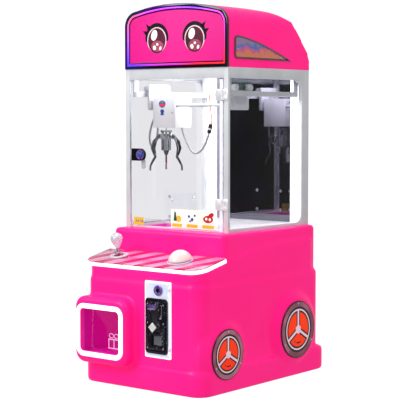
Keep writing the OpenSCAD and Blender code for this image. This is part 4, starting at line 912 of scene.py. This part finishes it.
# Milky edging down the hinge side of the door, between its hinges.
edging = bmesh.new()
for low, high in ((425, 480), (512, 771), (803, 828)):
    combine(edging, rounded((151.5, -121.3, low), (161.8, -119.9, high), 0.6, 2))
piece("door_edging", edging, [milky_edging_painted_glow], "front_door")

# Plain labels on the door: a strip of three picture steps, a warning patch and fine lines.
labels = bmesh.new()
DOOR_Y = -120


def label(x0, z0, x1, z1, material, lift=0.15, corner=1.0):
    """A printed patch on the front of the door."""
    combine(labels, rounded((x0, DOOR_Y - lift, z0), (x1, DOOR_Y + 0.01, z1), corner, 1),
            material=material)


label(-17, 428, 137, 478, 0, corner=2)
for x0, x1 in ((-13, 22), (38, 76), (92, 132)):
    label(x0, 430, x1, 439, 1, 0.25)
label(-152, 429, -116, 450, 1)
for x in (-146, -138, -128, -122):
    label(x, 436, x + 5, 443, 5, 0.25, 0.8)
for x0, x1, z in ((-112, -24, 445), (-112, -40, 440.5)):
    for i in range(int((x1 - x0) / 6)):
        label(x0 + i * 6, z, x0 + i * 6 + 4.2, z + 1.4, 5, 0.12, 0.3)
door_front = facing(DOOR_Y)
combine(labels, oval((10, 452), 9, 9, door_front, 0.35), material=1)
combine(labels, outline([(-8, 446), (4, 446), (0, 470), (-5, 472)], 0.4, door_front), material=2)
for x, z, r in ((46, 460, 4), (57, 452, 5), (66, 463, 3.5), (50, 447, 3)):
    combine(labels, oval((x, z), r, r, door_front, 0.35), material=3)
combine(labels, oval((112, 455), 17, 10, door_front, 0.35),
        oval((122, 466), 10, 6, door_front, 0.4, 25), material=4)
combine(labels, oval((106, 456), 4, 4, door_front, 0.55), oval((118, 455), 4, 4, door_front, 0.55),
        material=0)
piece("door_labels", labels, [ink_white_painted_glow, ink_yellow, ink_green, ink_blue, ink_red, ink_grey],
      "front_door")

# The door lock's ring, its barrel and the keyhole in it.
LOCK_X, LOCK_Z = -123.5, 624
lock_ring = ring(8.2, 14, 0, 1.9, facing(-125.2, LOCK_X, LOCK_Z), 48)
combine(lock_ring, turned([(0, 0), (7.2, 0), (7.2, 1.4), (6.4, 2.1), (0, 2.1)], (0, 0, 0),
                          facing(-127.0, LOCK_X, LOCK_Z), 32), material=1)
combine(lock_ring, rounded((LOCK_X - 0.9, -129.3, LOCK_Z - 3.5), (LOCK_X + 0.9, -129.0, LOCK_Z + 3.5),
                           0.4, 1), material=2)
piece("lock_ring", lock_ring, [violet_chrome, ink_blue, ink_black], "front_door", sharp=50)


# ---------------------------------------------------------------- crane

# The middle of the winch cover's underside when the claw is parked over the chute.
HOME = Vector((-91, -26, 698))


def from_home(points):
    """Places from points that are given from HOME."""
    return [HOME + Vector(p) for p in points]


# The routes of the two leads and of the thin wires that the right one hangs from.
LEFT = [(-49, -6, 48.6), (-51, -8, 40), (-59, -18, 12), (-63, -24, -20), (-60, -26, -42),
        (-50, -28, -54), (-39, -28, -44), (-33, -27, -22), (-31, -27, -8), (-30, -27, -0.7)]
RIGHT = [(34, 2, -0.7), (36, 2, -8), (44, 2, -28), (56, 2, -48), (70, 2, -66), (86, 2, -70),
         (102, 2, -62), (116, 2, -46), (125, 2, -28), (130, 2, -14)]
WIRE = [(136, 2, 8), (139, 2, 24), (137, 1, 44), (135, 0, 64), (134, 0, 80), (134, 0, 89.8)]
left_lead = tube(through_points(from_home(LEFT)), 2.9)
right_lead = tube(through_points(from_home(RIGHT)), 2.9)
for shift, material in (((-1.4, 0, 0), 1), ((1.4, 0.6, 0), 2)):
    combine(right_lead, tube(through_points([p + Vector(shift) for p in from_home(WIRE)]), 1.1),
            material=material)
tilt = Matrix.Translation(HOME + Vector((133, 2, -2))) @ Matrix.Rotation(math.radians(14), 4, "Y")
for part, material in ((rounded((-5, -4, -12.5), (5, 4, 12.5), 1.5, 2, 0.6), 3),
                       (rounded((-5.6, -4.6, -3), (5.6, 4.6, 1.5), 1.5, 2, 0.4), 4)):
    bmesh.ops.transform(part, verts=part.verts, matrix=tilt)
    combine(right_lead, part, material=material)


# ---------------------------------------------------------------- remaining parts

refined = {
    "base_plate": (board, 1.5), "rubber_feet": (rubber, 1.5), "deck_light_strip": (opal_lit, 1.5),
    "rear_panel": (white_powder, 0.5), "fixing_screws": (chrome, 0.3), "coin_box": (zinc, 0.5),
    "power_supply": (zinc, 0.4), "control_board": (solder_mask, 0.2),
    "power_inlet": (black_abs, 0.4), "playfield_floor": (white_laminate, 0.8),
    "side_frame_left": (white_powder, 1.0), "side_frame_right": (white_powder, 1.0),
    "back_panel": (white_powder, 0.8), "back_mirror": (mirror, 0), "light_columns": (column_lit, 0.5),
    "top_tray": (white_powder, 0.8), "gantry_rails": (white_powder, 0.4),
    "door_hinge_posts": (satin_chrome_painted_glow, 0.4),
    "power_switch": (black_abs, 0.3), "door_hinge_clamps": (satin_chrome_painted_glow, 0.4),
    "door_lock_case": (black_enamel, 0.6), "door_lock_cam": (satin_chrome_painted_glow, 0.4),
    "bridge": (white_powder, 0.4),
    "trolley_chassis": (black_abs, 0.5), "winch_spool": (brass, 0.4), "claw_body": (chrome, 0.5),
    "claw_plunger": (brass, 0.3), "claw_finger_1": (dark_chrome, 0.5),
    "claw_finger_2": (dark_chrome, 0.5), "claw_finger_3": (dark_chrome, 0.5),
    "trolley_cover": (white_abs, 1.5), "lift_cord": (black_cord, 0),
}
for node, (mat, soft) in refined.items():
    refine(node, mat, soft)

# A round emblem with a drop below it, and a screw, on the winch cover.
emblem = bmesh.new()
cover_front = facing(-63.5)
combine(emblem, oval((-96, 764), 12, 10, cover_front, 0.3), oval((-96, 744), 7, 5.5, cover_front, 0.3),
        outline([(-103, 733), (-89, 733), (-93, 742), (-99, 742)], 0.3, cover_front), material=0)
combine(emblem, oval((-101, 761), 4.2, 3.4, cover_front, 0.45, 20),
        oval((-91, 761), 4.2, 3.4, cover_front, 0.45, -20), material=1)
combine(emblem, oval((-96, 769), 6, 3, cover_front, 0.45), material=2)
piece("cover_emblem", emblem, [ink_blue, ink_orange_painted_glow, ink_grey], "trolley")
screws = bmesh.new()
for place, turn in (((-60, -63.5, 740), facing()), ((-50.5, -14, 742), SIDEWAYS),
                    ((-50.5, -14, 772), SIDEWAYS)):
    combine(screws, turned([(0, 1.2), (1.6, 1.0), (2.4, 0), (0, 0)], place, turn, 16))
piece("cover_screws", screws, [zinc], "trolley")

# A teal guard behind the right truck's two rollers.
ROLLERS = (-58, 6, 812)
guard = outline(round_ended(*ROLLERS, 11.5), 1.2, side_on(144.1))
combine(guard, outline(round_ended(*ROLLERS, 8.8), 0.3, side_on(145.3)), material=1)
piece("roller_guard", guard, [teal_nylon, die_cast], "bridge", sharp=50)

# The gearbox of the drive motor, and the motor behind it.
gearbox = rounded((109.4, -66.6, 786.4), (137.6, -30.5, 823.6), 3, 1, 0.8)
combine(gearbox, turned([(12.9, 0), (12.9, 44), (11, 46.5), (0, 46.5)], (123, -30.6, 805),
                        Matrix.Rotation(math.radians(-90), 4, "X"), 48))
piece("gearbox_cover", gearbox, [die_cast], "bridge")

# The leads hang between the bridge and the winch.
leads = (("left_lead", left_lead, ("bridge", "trolley"), LEFT[0], LEFT[-1]),
         ("right_lead", right_lead, ("trolley", "bridge"), RIGHT[0], (133, 2, -0.7)))
for name, bm, bodies, start, end in leads:
    lead = piece(name, bm, [grey_jacket, orange_jacket, ink_red, black_abs, white_abs], None,
                 ("loom_cables",), 40)
    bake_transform(lead)
